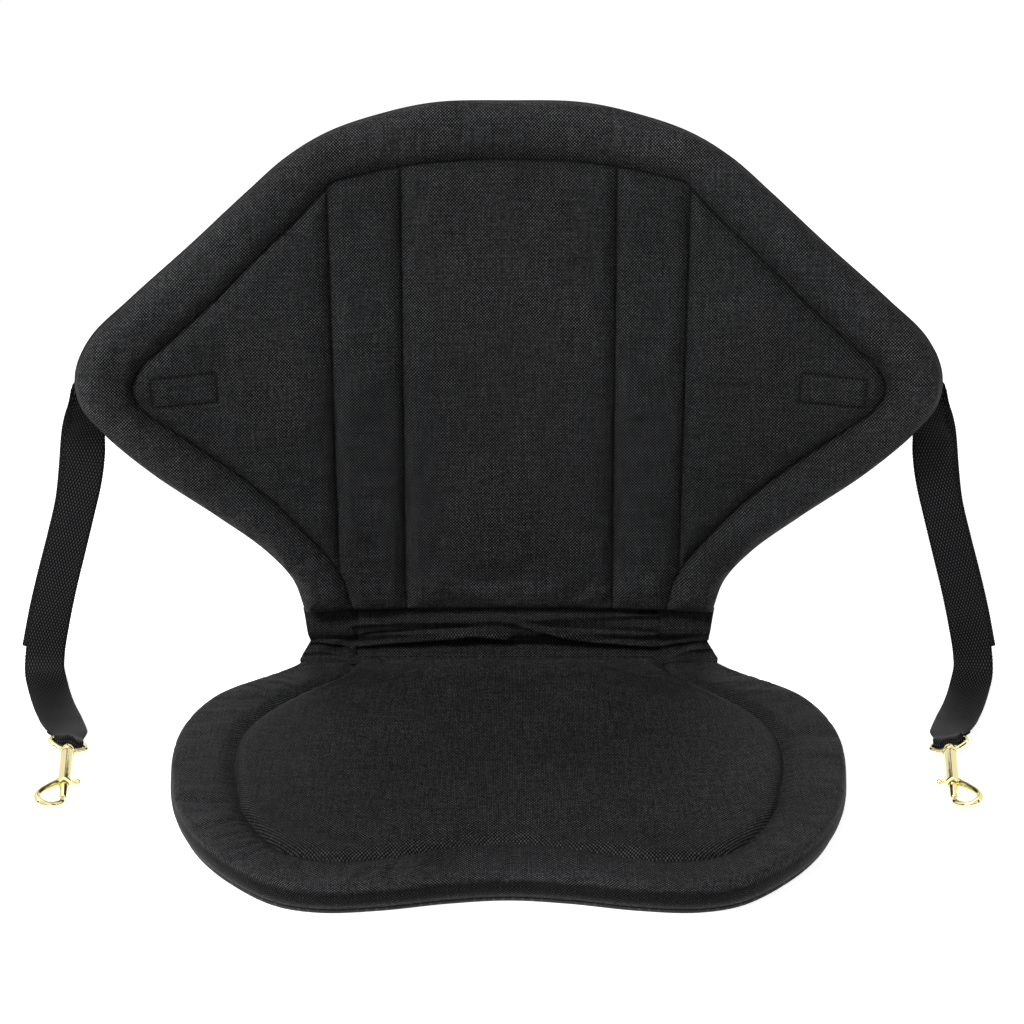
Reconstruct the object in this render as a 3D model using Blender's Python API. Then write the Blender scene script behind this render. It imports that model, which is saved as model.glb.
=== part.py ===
"""Kayak seat: a quilted backrest and a moulded seat pad joined by a cloth web.

Metres, +Z up. The origin is the centre of the seat pad's underside, the front of the seat
faces -Y, and the backrest stands at the rear, leaning back and wrapped forward at its wings.
Two webbing straps hang from the wings to bolt snap hooks that lie on the floor.

Outlines are drawn in millimetres on the right half and mirrored. The backrest is drawn flat,
as (u, v, w): u across, v up its face, w out of its face, and on_back() then bends it.
"""
import math

import bmesh
import bpy
import numpy as np
from mathutils import Matrix, Vector

MM = 0.001
GAP = 0.0003          # clearance between neighbouring solids
SEAM = 0.0014         # width of the valley along a stitch line
BEND = 0.025          # extra points where an outline turns, in metres of outline for each radian
FINE = 400            # points on a finely read outline

# Seat pad
SEAT_WIDTH = 0.390
SEAT_DEPTH = 0.281
SEAT_THICKNESS = 0.018
SEAT_BASE_THICKNESS = 0.0025
SEAT_BASE_MARGIN = 0.003   # the base panel stops this far inside the rim's outline
SEAT_SEAM_SHARE = 0.62     # of the rim's height that the middle pad has at its seam
SEAT_CROWN_SHARE = 1.02    # and at its crown

# Backrest
BACK_WIDTH = 0.532
BACK_HEIGHT = 0.336
BACK_THICKNESS = 0.018
BACK_PAD_THICKNESS = 0.0125
BACK_SEAM_SHARE = 0.42     # of a back pad's thickness that is left at its seam
BOARD_THICKNESS = 0.003
BOARD_MARGIN = 0.0015      # the board stops this far inside the backrest's outline
BOARD_TIP_MARGIN = 0.006   # and this far from its tips
BACK_LEAN = math.radians(7)
WRAP_RADIUS = 0.850
BACK_FOOT = 0.020     # height of the lower seam above the fold
FOLD_BEHIND_SEAT = 0.018
FOLD_HEIGHT = 0.026
CHANNEL_INNER = 0.066
CHANNEL_OUTER = 0.108
STAY_SIDE_ROOM = 0.004      # between a stay and each of its channel's stitch lines
STAY_THICKNESS = 0.002
STAY_ABOVE_FOOT = 0.030
STAY_BELOW_TOP = 0.062

# Cloth web between the two
WEB_THICKNESS = 0.002
WEB_SIDE_MARGIN = 0.002     # the web is this much narrower than the backrest's foot on each side
WEB_INSIDE_BACK = 0.0009    # its upper end lies this far in front of the backrest's rear face
WEB_END_GAP = 0.00045
WEB_START_SHARE = 0.7222    # of the seat's thickness, the height at which it leaves the seat
WEB_RIDGE_HEIGHT = 0.0016

# Straps and their slides
STRAP_WIDTH = 0.025
STRAP_THICKNESS = 0.0015
STRAP_GATHERED_WIDTH = 0.0175
GATHER_START = 0.004        # from the eye's bar, where the gathered strap begins to widen
GATHER_LENGTH = 0.020
FLAP_LENGTH = 0.030         # of the end that is sewn back on itself
LAYER_GAP = 0.0005          # between two layers of webbing that are sewn together
EYE_FLARE = 0.010           # over which the two layers close up behind the eye's bar
LOCK_BAR_WIDTH = 0.0024
LOCK_THICKNESS = 0.0028
LOCK_SIDE_WIDTH = 0.0030
LOCK_HEIGHT_ON_WING = 0.165
LOCK_BEHIND_WING = 0.0070
LOCK_FROM_TIP = 0.0300
BAR_SPACING = 0.0087
ANCHOR_END_FROM_TIP = 0.090
ANCHOR_FLAP_SHORTER = 0.006 # the folded-back layer stops this much before the layer below
ANCHOR_RISE = 0.014         # over which it climbs from the wing to the slide
SLIDE_CLEARANCE = 0.0006    # between the webbing's edges and the slide's side rails
SLIDE_FLARE = 0.012         # over which the strap's layers close up past the slide
SLIDE_FLAT = 0.0035         # straight stretch before that

# Bolt snap hook, along its own axis from the eye's bar
EYE_WIRE = 0.0028
EYE_CLEARANCE = 0.0004
EYE_CORNER = 0.0022
BOSS_START = 0.0074
BOSS_LENGTH = 0.0034
BOSS_DIAMETER = 0.0080
STUD_DIAMETER = 0.0036
STUD_HEAD_DIAMETER = 0.0060
STUD_HEAD_LENGTH = 0.0016
SWIVEL_GAP = 0.0004
CHAMFER = 0.0006
BORE_DIAMETER = 0.0056
BARREL_WALL = 0.0014
BARREL_LENGTH = 0.0298
BARREL_DIAMETER = BORE_DIAMETER + 2 * BARREL_WALL
BARREL_START = BOSS_START + BOSS_LENGTH + SWIVEL_GAP
BARREL_END = BARREL_START + BARREL_LENGTH
BLIND_WALL = 0.0028         # solid metal between the stud and the blind end of the bore
BORE_START = BARREL_START + BLIND_WALL
BOLT_CLEARANCE = 0.0004
BOLT_DIAMETER = BORE_DIAMETER - 2 * BOLT_CLEARANCE
SPRING_ROOM = 0.0140
BOLT_START = BORE_START + SPRING_ROOM
BOLT_TIP_GAP = 0.0005
BOLT_TRAVEL = 0.0090
KNOB_FROM_MOUTH = 0.0045    # the closed bolt's knob, back from the barrel's mouth
KNOB_PLACE = BARREL_END - KNOB_FROM_MOUTH
KNOB_NECK = 0.0024
KNOB_HEAD = 0.0044
KNOB_HEAD_LENGTH = 0.0026
KNOB_REACH = 0.0092
SLOT_END_ROOM = 0.0004
SPRING_WIRE = 0.0007
SPRING_CLEARANCE = 0.00035
SPRING_DIAMETER = BORE_DIAMETER - 2 * SPRING_CLEARANCE
SPRING_COILS = 4.5
HOOK_WIRE = 0.0042

BLACK_TWILL = ("black_twill", (0.028, 0.028, 0.030), 0.85, 0.0)
BLACK_RUBBER_CLOTH = ("black_rubber_cloth", (0.020, 0.020, 0.022), 0.75, 0.0)
BLACK_WEBBING = ("black_webbing", (0.022, 0.022, 0.024), 0.80, 0.0)
BLACK_ACETAL = ("black_acetal", (0.015, 0.015, 0.016), 0.40, 0.0)
GREY_STAY = ("grey_polythene", (0.090, 0.090, 0.095), 0.55, 0.0)
PALE_GOLD = ("pale_gold_plate", (0.83, 0.66, 0.32), 0.16, 1.0)
SPRING_STEEL = ("spring_steel", (0.55, 0.55, 0.56), 0.30, 1.0)

# Right half of each outline in millimetres, at the width and height it was drawn for
DRAWN_BACK = (532, 336)
BACK_OUTLINE = [(130, 20), (137, 40), (154, 60), (183, 83), (222, 112), (250, 138), (264, 157),
                (266, 177), (256, 198), (232, 220), (194, 252), (160, 282), (134, 302), (108, 316),
                (74, 327), (44, 334), (0, 336)]
BACK_RING = [(100, 20), (108, 45), (133, 76), (155, 98), (181, 119), (207, 138), (226, 153),
             (233, 165), (228, 178), (211, 193), (185, 215), (155, 243), (130, 264), (108, 282),
             (88, 290), (66, 296), (39, 300), (0, 301)]
RING_AT_CHANNEL = 1   # the ring's points where the outer channel line meets it
RING_AT_TIP = 6
RING_OVER_TIP = 8
RING_AT_TOP = 13
RING_AT_INNER_CHANNEL = 15
DRAWN_SEAT = (390, 281)
SEAT_OUTLINE = [(132, 141), (134, 132), (142, 124), (165, 113), (182, 88), (191, 58), (195, 25),
                (192, -10), (185, -46), (171, -80), (150, -109), (122, -133), (97, -140),
                (66, -138), (30, -131), (0, -128)]
SEAT_GROOVE = [(97, 141), (99, 130), (106, 116), (125, 94), (143, 70), (155, 44), (158, 18),
               (156, -8), (152, -28), (146, -54), (134, -79), (119, -98), (103, -106), (84, -108),
               (61, -104), (38, -97), (12, -92), (0, -91)]
GROOVE_AT_SIDE = 9    # the groove's corner between its side and its front stretch

# Cross sections as (share of the way from the inner to the outer line, share of the height)
BACK_ROLL = [(0, 0), (0, 0.40), (0.07, 0.70), (0.20, 0.92), (0.42, 1.0), (0.66, 0.97),
             (0.86, 0.80), (0.97, 0.50), (1.0, 0.25), (0.985, 0)]
SEAT_ROLL = [(0, 0), (0, 0.66), (0.08, 0.86), (0.24, 0.98), (0.46, 1.0), (0.70, 0.98),
             (0.88, 0.84), (0.97, 0.58), (1.0, 0.28), (0.985, 0)]

# Web between seat and back, down its middle: (share of the way back, share of the way up)
WEB_SECTION = [(0.038, 0.0), (0.231, 0.019), (0.50, -0.031), (0.827, 0.046), (0.981, 0.232),
               (0.885, 0.370), (0.635, 0.525), (0.769, 0.710), (0.962, 0.864), (1.0, 1.0)]
WEB_RIDGE_MIDDLE = 0.62     # shares of the section where the two ridges cross, how far apart
WEB_RIDGE_SLANT = 0.16      # they are at the sides, and how wide each one is
WEB_RIDGE_SPREAD = 0.09

# A strap's middle line from the hook's eye to the slide: (outward from the seat's middle, y, z)
# in millimetres, with the direction of its width, drawn for a slide whose middle bar is at
# DRAWN_SLIDE. The lines move with the slide.
DRAWN_SLIDE = (234.9, 153.0, 192.9)
STRAP_ROUTE = [((258.0, 31.0, 13.5), (0.93, -0.19, 0.34)), ((263.0, 50.0, 9.5), (0.96, -0.20, 0.18)),
               ((272.5, 78.0, 3.6), (0.97, -0.28, 0.00)), ((283.0, 106.0, 0.7), (0.97, -0.25, 0.00)),
               ((291.0, 129.0, 1.6), (0.99, -0.15, 0.00)), ((295.5, 142.5, 8.0), (1.0, -0.05, 0.0)),
               ((295.0, 149.0, 21.0), (1.0, 0.0, 0.05)), ((291.0, 150.5, 40.0), (1.0, 0.0, 0.10)),
               ((285.0, 150.0, 63.0), (1.0, 0.0, 0.20)), ((278.0, 151.0, 87.0), (1.0, 0.0, 0.25)),
               ((270.5, 152.5, 113.0), (1.0, 0.0, 0.22)), ((265.0, 154.0, 133.0), (1.0, 0.0, 0.12)),
               ((262.5, 155.0, 148.0), (1.0, -0.10, 0.0)), ((261.5, 154.5, 160.0), (0.90, -0.40, 0.05)),
               ((259.5, 152.5, 172.0), (0.68, -0.70, 0.20)), ((258.5, 151.5, 181.5), (0.60, -0.70, 0.30)),
               ((256.5, 150.5, 188.0), (0.40, -0.60, 0.60)), ((251.5, 149.0, 192.5), (0.10, -0.15, 0.98))]
# The free end behind it, from the slide down to the cut
TAIL_ROUTE = [((256.5, 159.0, 188.0), (0.32, -0.50, 0.74)), ((261.0, 161.0, 178.0), (0.60, -0.60, 0.40)),
              ((264.5, 163.5, 164.0), (0.88, -0.35, 0.15)), ((268.5, 164.5, 138.0), (1.0, -0.05, 0.12)),
              ((273.0, 164.5, 113.0), (1.0, 0.0, 0.22)), ((280.5, 164.0, 87.0), (1.0, 0.0, 0.25)),
              ((288.0, 163.5, 63.0), (1.0, 0.0, 0.24)), ((295.0, 163.0, 39.0), (1.0, 0.0, 0.22)),
              ((301.5, 162.5, 13.0), (1.0, 0.0, 0.20))]
HOOK_HEADING = (-0.07, -0.985, -0.155)

# The hook's open arm: (along the axis from the barrel's mouth, out from it) in millimetres
HOOK_ARM = [(-3.5, 2.6), (0.5, 4.6), (5.5, 9.0), (11.0, 13.0), (15.5, 14.4), (19.3, 13.2),
            (21.1, 9.8), (20.6, 5.6), (18.6, 2.2), (16.4, 0.4), (13.8, 0.0)]
BOLT_END = BARREL_END + HOOK_ARM[-1][0] * MM - BOLT_TIP_GAP


def clear_scene():
    for item in list(bpy.data.objects):
        bpy.data.objects.remove(item, do_unlink=True)


def finish(spec):
    """The Principled material of a (name, colour, roughness, metallic) tuple, made once."""
    name, colour, roughness, metallic = spec
    found = bpy.data.materials.get(name)
    if found:
        return found
    made = bpy.data.materials.new(name)
    made.use_nodes = True
    shader = made.node_tree.nodes["Principled BSDF"]
    shader.inputs["Base Color"].default_value = (*colour, 1.0)
    shader.inputs["Roughness"].default_value = roughness
    shader.inputs["Metallic"].default_value = metallic
    return made


def curve_through(points, count):
    """A centripetal Catmull-Rom curve through the points, read at evenly spaced places."""
    known = np.asarray(points, float)
    ends = np.vstack([2 * known[0] - known[1], known, 2 * known[-1] - known[-2]])
    fine = []
    for a, b, c, d in zip(ends, ends[1:], ends[2:], ends[3:]):
        knots = np.cumsum([0] + [math.sqrt(np.linalg.norm(q - p)) for p, q in ((a, b), (b, c), (c, d))])
        for t in np.linspace(knots[1], knots[2], 16, endpoint=False):
            low = [((k1 - t) * p + (t - k0) * q) / (k1 - k0)
                   for p, q, k0, k1 in zip((a, b, c), (b, c, d), knots, knots[1:])]
            mid = [((knots[i + 2] - t) * low[i] + (t - knots[i]) * low[i + 1]) / (knots[i + 2] - knots[i])
                   for i in (0, 1)]
            fine.append(((knots[2] - t) * mid[0] + (t - knots[1]) * mid[1]) / (knots[2] - knots[1]))
    return evenly(np.vstack([fine, known[-1:]]), count)


def evenly(line, count, bend=0.0):
    """A polyline read again at count places.

    They are the same distance apart, where each radian of turning counts as bend metres more.
    """
    line = np.asarray(line, float)
    steps = np.diff(line, axis=0)
    sizes = np.linalg.norm(steps, axis=1)
    length = np.concatenate([[0], np.cumsum(sizes)])
    if bend and len(line) > 2:
        ways = steps / sizes[:, None]
        turns = np.arccos(np.clip(np.sum(ways[1:] * ways[:-1], axis=1), -1, 1))
        shared = np.concatenate([[0], turns]) / 2 + np.concatenate([turns, [0]]) / 2
        length = length + bend * np.concatenate([[0], np.cumsum(shared)])
    places = np.linspace(0, length[-1], count)
    return np.stack([np.interp(places, length, line[:, k]) for k in range(line.shape[1])], axis=1)


def stretch(line, start, end):
    """The part of a finely read line between the places nearest to two points."""
    first, last = (int(np.argmin(np.linalg.norm(line - np.asarray(p), axis=1))) for p in (start, end))
    return line[first:last + 1] if first < last else line[last:first + 1][::-1]


def drawn(points, drawn_at, width, height):
    """An outline in millimetres, scaled to the width and height in metres."""
    return np.asarray(points, float) * (width / drawn_at[0], height / drawn_at[1])


def mirrored(half):
    """The whole line from a right half that starts or ends on the middle line."""
    half = np.asarray(half, float)
    flipped = half * (-1, 1)
    if abs(half[-1, 0]) < 1e-9:
        return np.vstack([flipped, half[-2::-1]])
    return np.vstack([flipped[::-1], half[1:]])


def inset(loop, distance):
    """A closed anticlockwise loop of 2-D points, each moved in by the distance."""
    before = loop - np.roll(loop, 1, axis=0)
    after = np.roll(loop, -1, axis=0) - loop
    moved = []
    for point, p, q in zip(loop, before, after):
        left = [np.array([-d[1], d[0]]) / np.linalg.norm(d) for d in (p, q)]
        middle = left[0] + left[1]
        middle /= np.linalg.norm(middle)
        moved.append(point + middle * distance / max(middle @ left[0], 0.5))
    return np.array(moved)


def on_back(u, v, w):
    """A place on the backrest in the model's frame: u round the wrap, v up, w towards the sitter."""
    turn = u / WRAP_RADIUS
    forward = WRAP_RADIUS - (WRAP_RADIUS - w) * math.cos(turn)
    return Vector(((WRAP_RADIUS - w) * math.sin(turn),
                   SEAT_DEPTH / 2 + FOLD_BEHIND_SEAT + v * math.sin(BACK_LEAN) - forward * math.cos(BACK_LEAN),
                   FOLD_HEIGHT + v * math.cos(BACK_LEAN) + forward * math.sin(BACK_LEAN)))


def on_floor(x, y, z):
    return Vector((x, y, z))


def add_object(name, vertices, faces, spec, frame=None, smooth=True):
    """A closed mesh object with its faces turned outwards."""
    mesh = bpy.data.meshes.new(name)
    mesh.from_pydata([tuple(v) for v in vertices], [], faces)
    work = bmesh.new()
    work.from_mesh(mesh)
    bmesh.ops.recalc_face_normals(work, faces=work.faces)
    work.to_mesh(mesh)
    work.free()
    if smooth:
        mesh.shade_smooth()
        mesh.set_sharp_from_angle(angle=math.radians(40))
    mesh.materials.append(finish(spec))
    made = bpy.data.objects.new(name, mesh)
    bpy.context.scene.collection.objects.link(made)
    if frame is not None:
        made.matrix_world = frame
    return made


def loft(rings, closed_path=False):
    """Vertices and faces of a skin over rings of equal length, with end caps on an open path."""
    count = len(rings[0])
    vertices = [p for ring in rings for p in ring]
    faces = []
    for i in range(len(rings) if closed_path else len(rings) - 1):
        here, there = i * count, ((i + 1) % len(rings)) * count
        faces += [(here + k, here + (k + 1) % count, there + (k + 1) % count, there + k)
                  for k in range(count)]
    if not closed_path:
        faces += [tuple(range(count)), tuple((len(rings) - 1) * count + k for k in range(count))]
    return vertices, faces


def slab(top, bottom):
    """Vertices and faces of the solid between two grids of the same shape."""
    rows, columns = len(top), len(top[0])
    vertices = [p for grid in (top, bottom) for row in grid for p in row]
    under = rows * columns

    def at(i, j):
        return i * columns + j

    faces = [(at(i, j), at(i + 1, j), at(i + 1, j + 1), at(i, j + 1))
             for i in range(rows - 1) for j in range(columns - 1)]
    faces += [tuple(under + k for k in face) for face in list(faces)]
    border = ([(i, 0) for i in range(rows)] + [(rows - 1, j) for j in range(1, columns)]
              + [(i, columns - 1) for i in range(rows - 2, -1, -1)] + [(0, j) for j in range(columns - 2, 0, -1)])
    ring = [at(i, j) for i, j in border]
    faces += [(a, b, under + b, under + a) for a, b in zip(ring, ring[1:] + ring[:1])]
    return vertices, faces


def bulge(t, power=4.0):
    """0 at both ends of 0..1 and 1 in the middle, steep at the ends like a stuffed pad."""
    return math.sqrt(max(0.0, 1 - abs(2 * t - 1) ** power))


def add_pad(name, sides, floor, edge, crown, place, spec, cells):
    """A stuffed pad over a four-sided patch.

    sides are the bottom, right, top and left lines, run anticlockwise. The patch is Coons's
    P(s,t) = (1-t)B(s) + tT(s) + (1-s)L(t) + sR(t) - bilinear corners, and its top rises from
    edge to crown as bulge(s) * bulge(t).
    """
    columns, rows = cells
    loop = np.vstack([evenly(side, n + 1, BEND)[:-1] for side, n in zip(sides, (columns, rows, columns, rows))])
    loop = inset(loop, SEAM / 2)
    loop = np.vstack([loop, loop[:1]])
    low = loop[:columns + 1]
    right = loop[columns:columns + rows + 1]
    high = loop[columns + rows:2 * columns + rows + 1][::-1]
    left = loop[2 * columns + rows:][::-1]
    top, bottom = [], []
    for j in range(rows + 1):
        t = j / rows
        top.append([])
        bottom.append([])
        for i in range(columns + 1):
            s = i / columns
            corners = ((1 - s) * (1 - t) * low[0] + s * (1 - t) * low[-1]
                       + (1 - s) * t * high[0] + s * t * high[-1])
            x, y = (1 - t) * low[i] + t * high[i] + (1 - s) * left[j] + s * right[j] - corners
            rise = edge + (crown - edge) * bulge(s) * bulge(t)
            top[-1].append(place(x, y, floor + rise))
            bottom[-1].append(place(x, y, floor))
    return add_object(name, *slab(top, bottom), spec)


def add_roll(name, inner, outer, profile, floor, height, place, spec, stations):
    """A padded roll: the profile carried along between two lines."""
    rings = []
    for a, b in zip(evenly(inner, stations, BEND), evenly(outer, stations, BEND)):
        span = b - a
        start = a + span * (SEAM / 2) / np.linalg.norm(span)
        span = b - start
        rings.append([place(*(start + span * share), floor + height * rise) for share, rise in profile])
    return add_object(name, *loft(rings), spec)


def back_lines():
    """The backrest's whole outline and ring line, finely read from left foot over the top to right
    foot, and the right half of the ring's own points."""
    size = (BACK_WIDTH, BACK_HEIGHT)
    outline = drawn(BACK_OUTLINE, DRAWN_BACK, *size)
    ring = drawn(BACK_RING, DRAWN_BACK, *size)
    ring[RING_AT_CHANNEL, 0] = ring[RING_AT_TOP, 0] = CHANNEL_OUTER
    ring[RING_AT_INNER_CHANNEL, 0] = CHANNEL_INNER
    outline[0, 1] = ring[0, 1] = BACK_FOOT
    return curve_through(mirrored(outline), FINE), curve_through(mirrored(ring), FINE), ring


def add_backrest():
    outline, ring, knots = back_lines()
    pad_floor = BOARD_THICKNESS + GAP
    pad_edge = BACK_PAD_THICKNESS * BACK_SEAM_SHARE
    add_roll("back_rim", ring, outline, BACK_ROLL, pad_floor, BACK_THICKNESS - pad_floor, on_back,
             BLACK_TWILL, 62)

    foot, channel_foot = knots[0], (CHANNEL_INNER, BACK_FOOT)
    channel_head = knots[RING_AT_INNER_CHANNEL]
    top = stretch(ring, channel_head, channel_head * (-1, 1))
    centre = [[(-CHANNEL_INNER, BACK_FOOT), channel_foot], [channel_foot, top[0]], top,
              [top[-1], (-CHANNEL_INNER, BACK_FOOT)]]
    add_pad("back_center_pad", centre, pad_floor, pad_edge, BACK_PAD_THICKNESS, on_back, BLACK_TWILL, (10, 9))

    low, high = knots[RING_AT_CHANNEL], knots[RING_AT_TOP]
    foot_side = stretch(ring, foot, low)
    stay_room = STAY_THICKNESS + 2 * GAP
    channel = [[channel_foot, foot_side[0]], np.vstack([foot_side, [high]]), stretch(ring, high, channel_head),
               [channel_head, channel_foot]]
    add_both("back_channel_pad", channel, pad_floor + stay_room, pad_edge - stay_room,
             BACK_PAD_THICKNESS - stay_room, (5, 12))

    tip_low, tip_high = knots[RING_AT_TIP], knots[RING_OVER_TIP]
    wing = [stretch(ring, low, tip_low), stretch(ring, tip_low, tip_high), stretch(ring, tip_high, high),
            [high, low]]
    add_both("back_wing_pad", wing, pad_floor, pad_edge, BACK_PAD_THICKNESS, (10, 8))
    add_stays(pad_floor)
    add_board(outline)


def add_both(name, sides, floor, edge, crown, cells):
    """A pad on the right and its mirror image on the left."""
    add_pad(name + "_right", sides, floor, edge, crown, on_back, BLACK_TWILL, cells)
    flipped = [(np.asarray(side, float) * (-1, 1))[::-1] for side in sides]
    left = [flipped[0], flipped[3], flipped[2], flipped[1]]
    add_pad(name + "_left", left, floor, edge, crown, on_back, BLACK_TWILL, cells)


def add_stays(floor):
    """Flat plastic battens inside the two channels, which keep the backrest upright."""
    sides = (CHANNEL_INNER + STAY_SIDE_ROOM, (CHANNEL_INNER + CHANNEL_OUTER) / 2, CHANNEL_OUTER - STAY_SIDE_ROOM)
    ends = (BACK_FOOT + STAY_ABOVE_FOOT, BACK_HEIGHT - STAY_BELOW_TOP)
    for side, word in ((-1, "left"), (1, "right")):
        grids = []
        for w in (floor + STAY_THICKNESS, floor):
            grids.append([[on_back(side * u, v, w) for u in sides] for v in ends])
        add_object("back_stay_" + word, *slab(*grids), GREY_STAY, smooth=False)


def add_board(outline):
    """The stiff rear panel, in columns across the backrest that follow its wrap."""
    line = outline[len(outline) // 2:]
    widest = int(np.argmax(line[:, 0]))
    high, low = line[:widest + 1], line[widest:][::-1]
    edge = line[widest, 0] - BOARD_TIP_MARGIN
    foot = low[0, 0]
    columns = np.concatenate([np.linspace(0, foot, 8)[:-1], np.linspace(foot, edge, 11)])
    columns = np.concatenate([-columns[:0:-1], columns])
    low = low[np.argsort(low[:, 0])]
    grids = []
    for w in (BOARD_THICKNESS, 0.0):
        grid = []
        for u in columns:
            bottom = BACK_FOOT
            if abs(u) > foot:
                bottom = np.interp(abs(u), low[:, 0], low[:, 1]) + BOARD_MARGIN
            top = np.interp(abs(u), high[:, 0], high[:, 1]) - BOARD_MARGIN
            grid.append([on_back(u, v, w) for v in np.linspace(bottom, top, 6)])
        grids.append(grid)
    add_object("back_board", *slab(*grids), BLACK_TWILL)


def add_seat():
    outline = curve_through(mirrored(drawn(SEAT_OUTLINE, DRAWN_SEAT, SEAT_WIDTH, SEAT_DEPTH)), FINE)
    knots = drawn(SEAT_GROOVE, DRAWN_SEAT, SEAT_WIDTH, SEAT_DEPTH)
    groove = curve_through(mirrored(knots), FINE)
    floor = SEAT_BASE_THICKNESS + GAP
    height = SEAT_THICKNESS - floor
    add_roll("seat_rim", groove, outline, SEAT_ROLL, floor, height, on_floor, BLACK_TWILL, 58)

    corner = knots[GROOVE_AT_SIDE]
    other = corner * (-1, 1)
    left, front, right = (stretch(groove, a, b) for a, b in ((groove[0], other), (other, corner),
                                                            (corner, groove[-1])))
    sides = [front, right, [groove[-1], groove[0]], left]
    add_pad("seat_center_pad", sides, floor, height * SEAT_SEAM_SHARE, height * SEAT_CROWN_SHARE, on_floor,
            BLACK_TWILL, (16, 10))

    base = inset(evenly(outline, 61, BEND), SEAT_BASE_MARGIN)
    rings = [[on_floor(x, y, z) for x, y in base] for z in (0, SEAT_BASE_THICKNESS)]
    add_object("seat_base", *loft(rings), BLACK_RUBBER_CLOTH, smooth=False)


def add_web():
    """The unpadded cloth between seat and backrest, with the folds that cross in its middle.

    Across the web at share s of its section, two ridges stand out along its face:
    height * exp(-((s - middle -+ slant * x/half) / spread)^2).
    """
    outline, _, _ = back_lines()
    half = outline[-1, 0] - WEB_SIDE_MARGIN
    start = np.array([SEAT_DEPTH / 2 + GAP, SEAT_THICKNESS * WEB_START_SHARE])
    end = np.array(on_back(0, BACK_FOOT, WEB_INSIDE_BACK))[1:] - (0, WEB_END_GAP)
    section = start + np.array(WEB_SECTION) * (end - start)
    line = curve_through(section, 15)
    slopes = np.gradient(line, axis=0)
    across = np.stack([-slopes[:, 1], slopes[:, 0]], axis=1)
    across /= np.linalg.norm(across, axis=1)[:, None]
    grids = []
    for offset in (0.0, -WEB_THICKNESS):
        grid = []
        for x in np.linspace(-half, half, 15):
            row = []
            for k, (point, out) in enumerate(zip(line, across)):
                s = k / (len(line) - 1)
                off_ridge = [s - WEB_RIDGE_MIDDLE - way * WEB_RIDGE_SLANT * x / half for way in (-1, 1)]
                lift = sum(WEB_RIDGE_HEIGHT * math.exp(-(d / WEB_RIDGE_SPREAD) ** 2) for d in off_ridge)
                y, z = point + out * (offset + lift * (0 < k < len(line) - 1))
                row.append((x, y, z))
            grid.append(row)
        grids.append(grid)
    add_object("hinge_web", *slab(*grids), BLACK_TWILL)


def unit(vector):
    vector = np.asarray(vector, float)
    return vector / np.linalg.norm(vector)


def square_to(vector, direction):
    """The part of a vector that is square to a unit direction, as a unit vector."""
    return unit(np.asarray(vector, float) - direction * np.dot(vector, direction))


def outward(point, side):
    """A hand-written (outward, y, z) in millimetres, on the side -1 or 1, moved with the slide."""
    bar, _ = slide_bar(1, LOCK_FROM_TIP)
    drawn_bar = np.array(DRAWN_SLIDE) * MM
    place = np.asarray(point, float) * MM
    place[:2] += bar[:2] - drawn_bar[:2]
    place[2] *= bar[2] / drawn_bar[2]
    return place * (side, 1, 1)


def round_slide_bar():
    """How far the middle of webbing stands off the middle of a slide's bar that it turns round."""
    return math.hypot(LOCK_BAR_WIDTH, LOCK_THICKNESS) / 2 + LAYER_GAP + STRAP_THICKNESS / 2


def slide_bar(side, from_tip):
    """The middle of one of the slide's bars behind the wing tip, and the bar's direction."""
    u = side * (BACK_WIDTH / 2 - from_tip)
    middle = np.array(on_back(u, LOCK_HEIGHT_ON_WING, -LOCK_BEHIND_WING))
    above = np.array(on_back(u, LOCK_HEIGHT_ON_WING + 0.01, -LOCK_BEHIND_WING))
    return middle, unit(above - middle)


def hook_frame(side):
    """Origin at the eye's bar, X along the hook, Y along the bar towards the outside."""
    (place, width), (following, _) = STRAP_ROUTE[:2]
    strap_end = unit(outward(following, side) - outward(place, side))
    bar = square_to([side * width[0], width[1], width[2]], strap_end)
    axis = square_to([side * HOOK_HEADING[0], HOOK_HEADING[1], HOOK_HEADING[2]], bar)
    third = np.cross(axis, bar)
    frame = Matrix.Identity(4)
    for row in range(3):
        frame[row][0], frame[row][1], frame[row][2] = axis[row], bar[row], third[row]
        frame[row][3] = outward(place, side)[row]
    return frame


def teardrop(distance, bar_radius):
    """How far a layer stands off the strap's middle line at a distance from the bar it wraps."""
    near = bar_radius + GAP + STRAP_THICKNESS / 2
    far = (STRAP_THICKNESS + LAYER_GAP) / 2
    share = min(max(distance / EYE_FLARE, 0.0), 1.0)
    return near + (far - near) * share * share * (3 - 2 * share)


def around(centre, start, towards, radius, steps=5):
    """Half a turn round a bar: from the start direction, over towards, to the far side."""
    return [centre + radius * (math.cos(a) * start + math.sin(a) * towards)
            for a in np.linspace(0, math.pi, steps + 2)[1:-1]]


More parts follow.
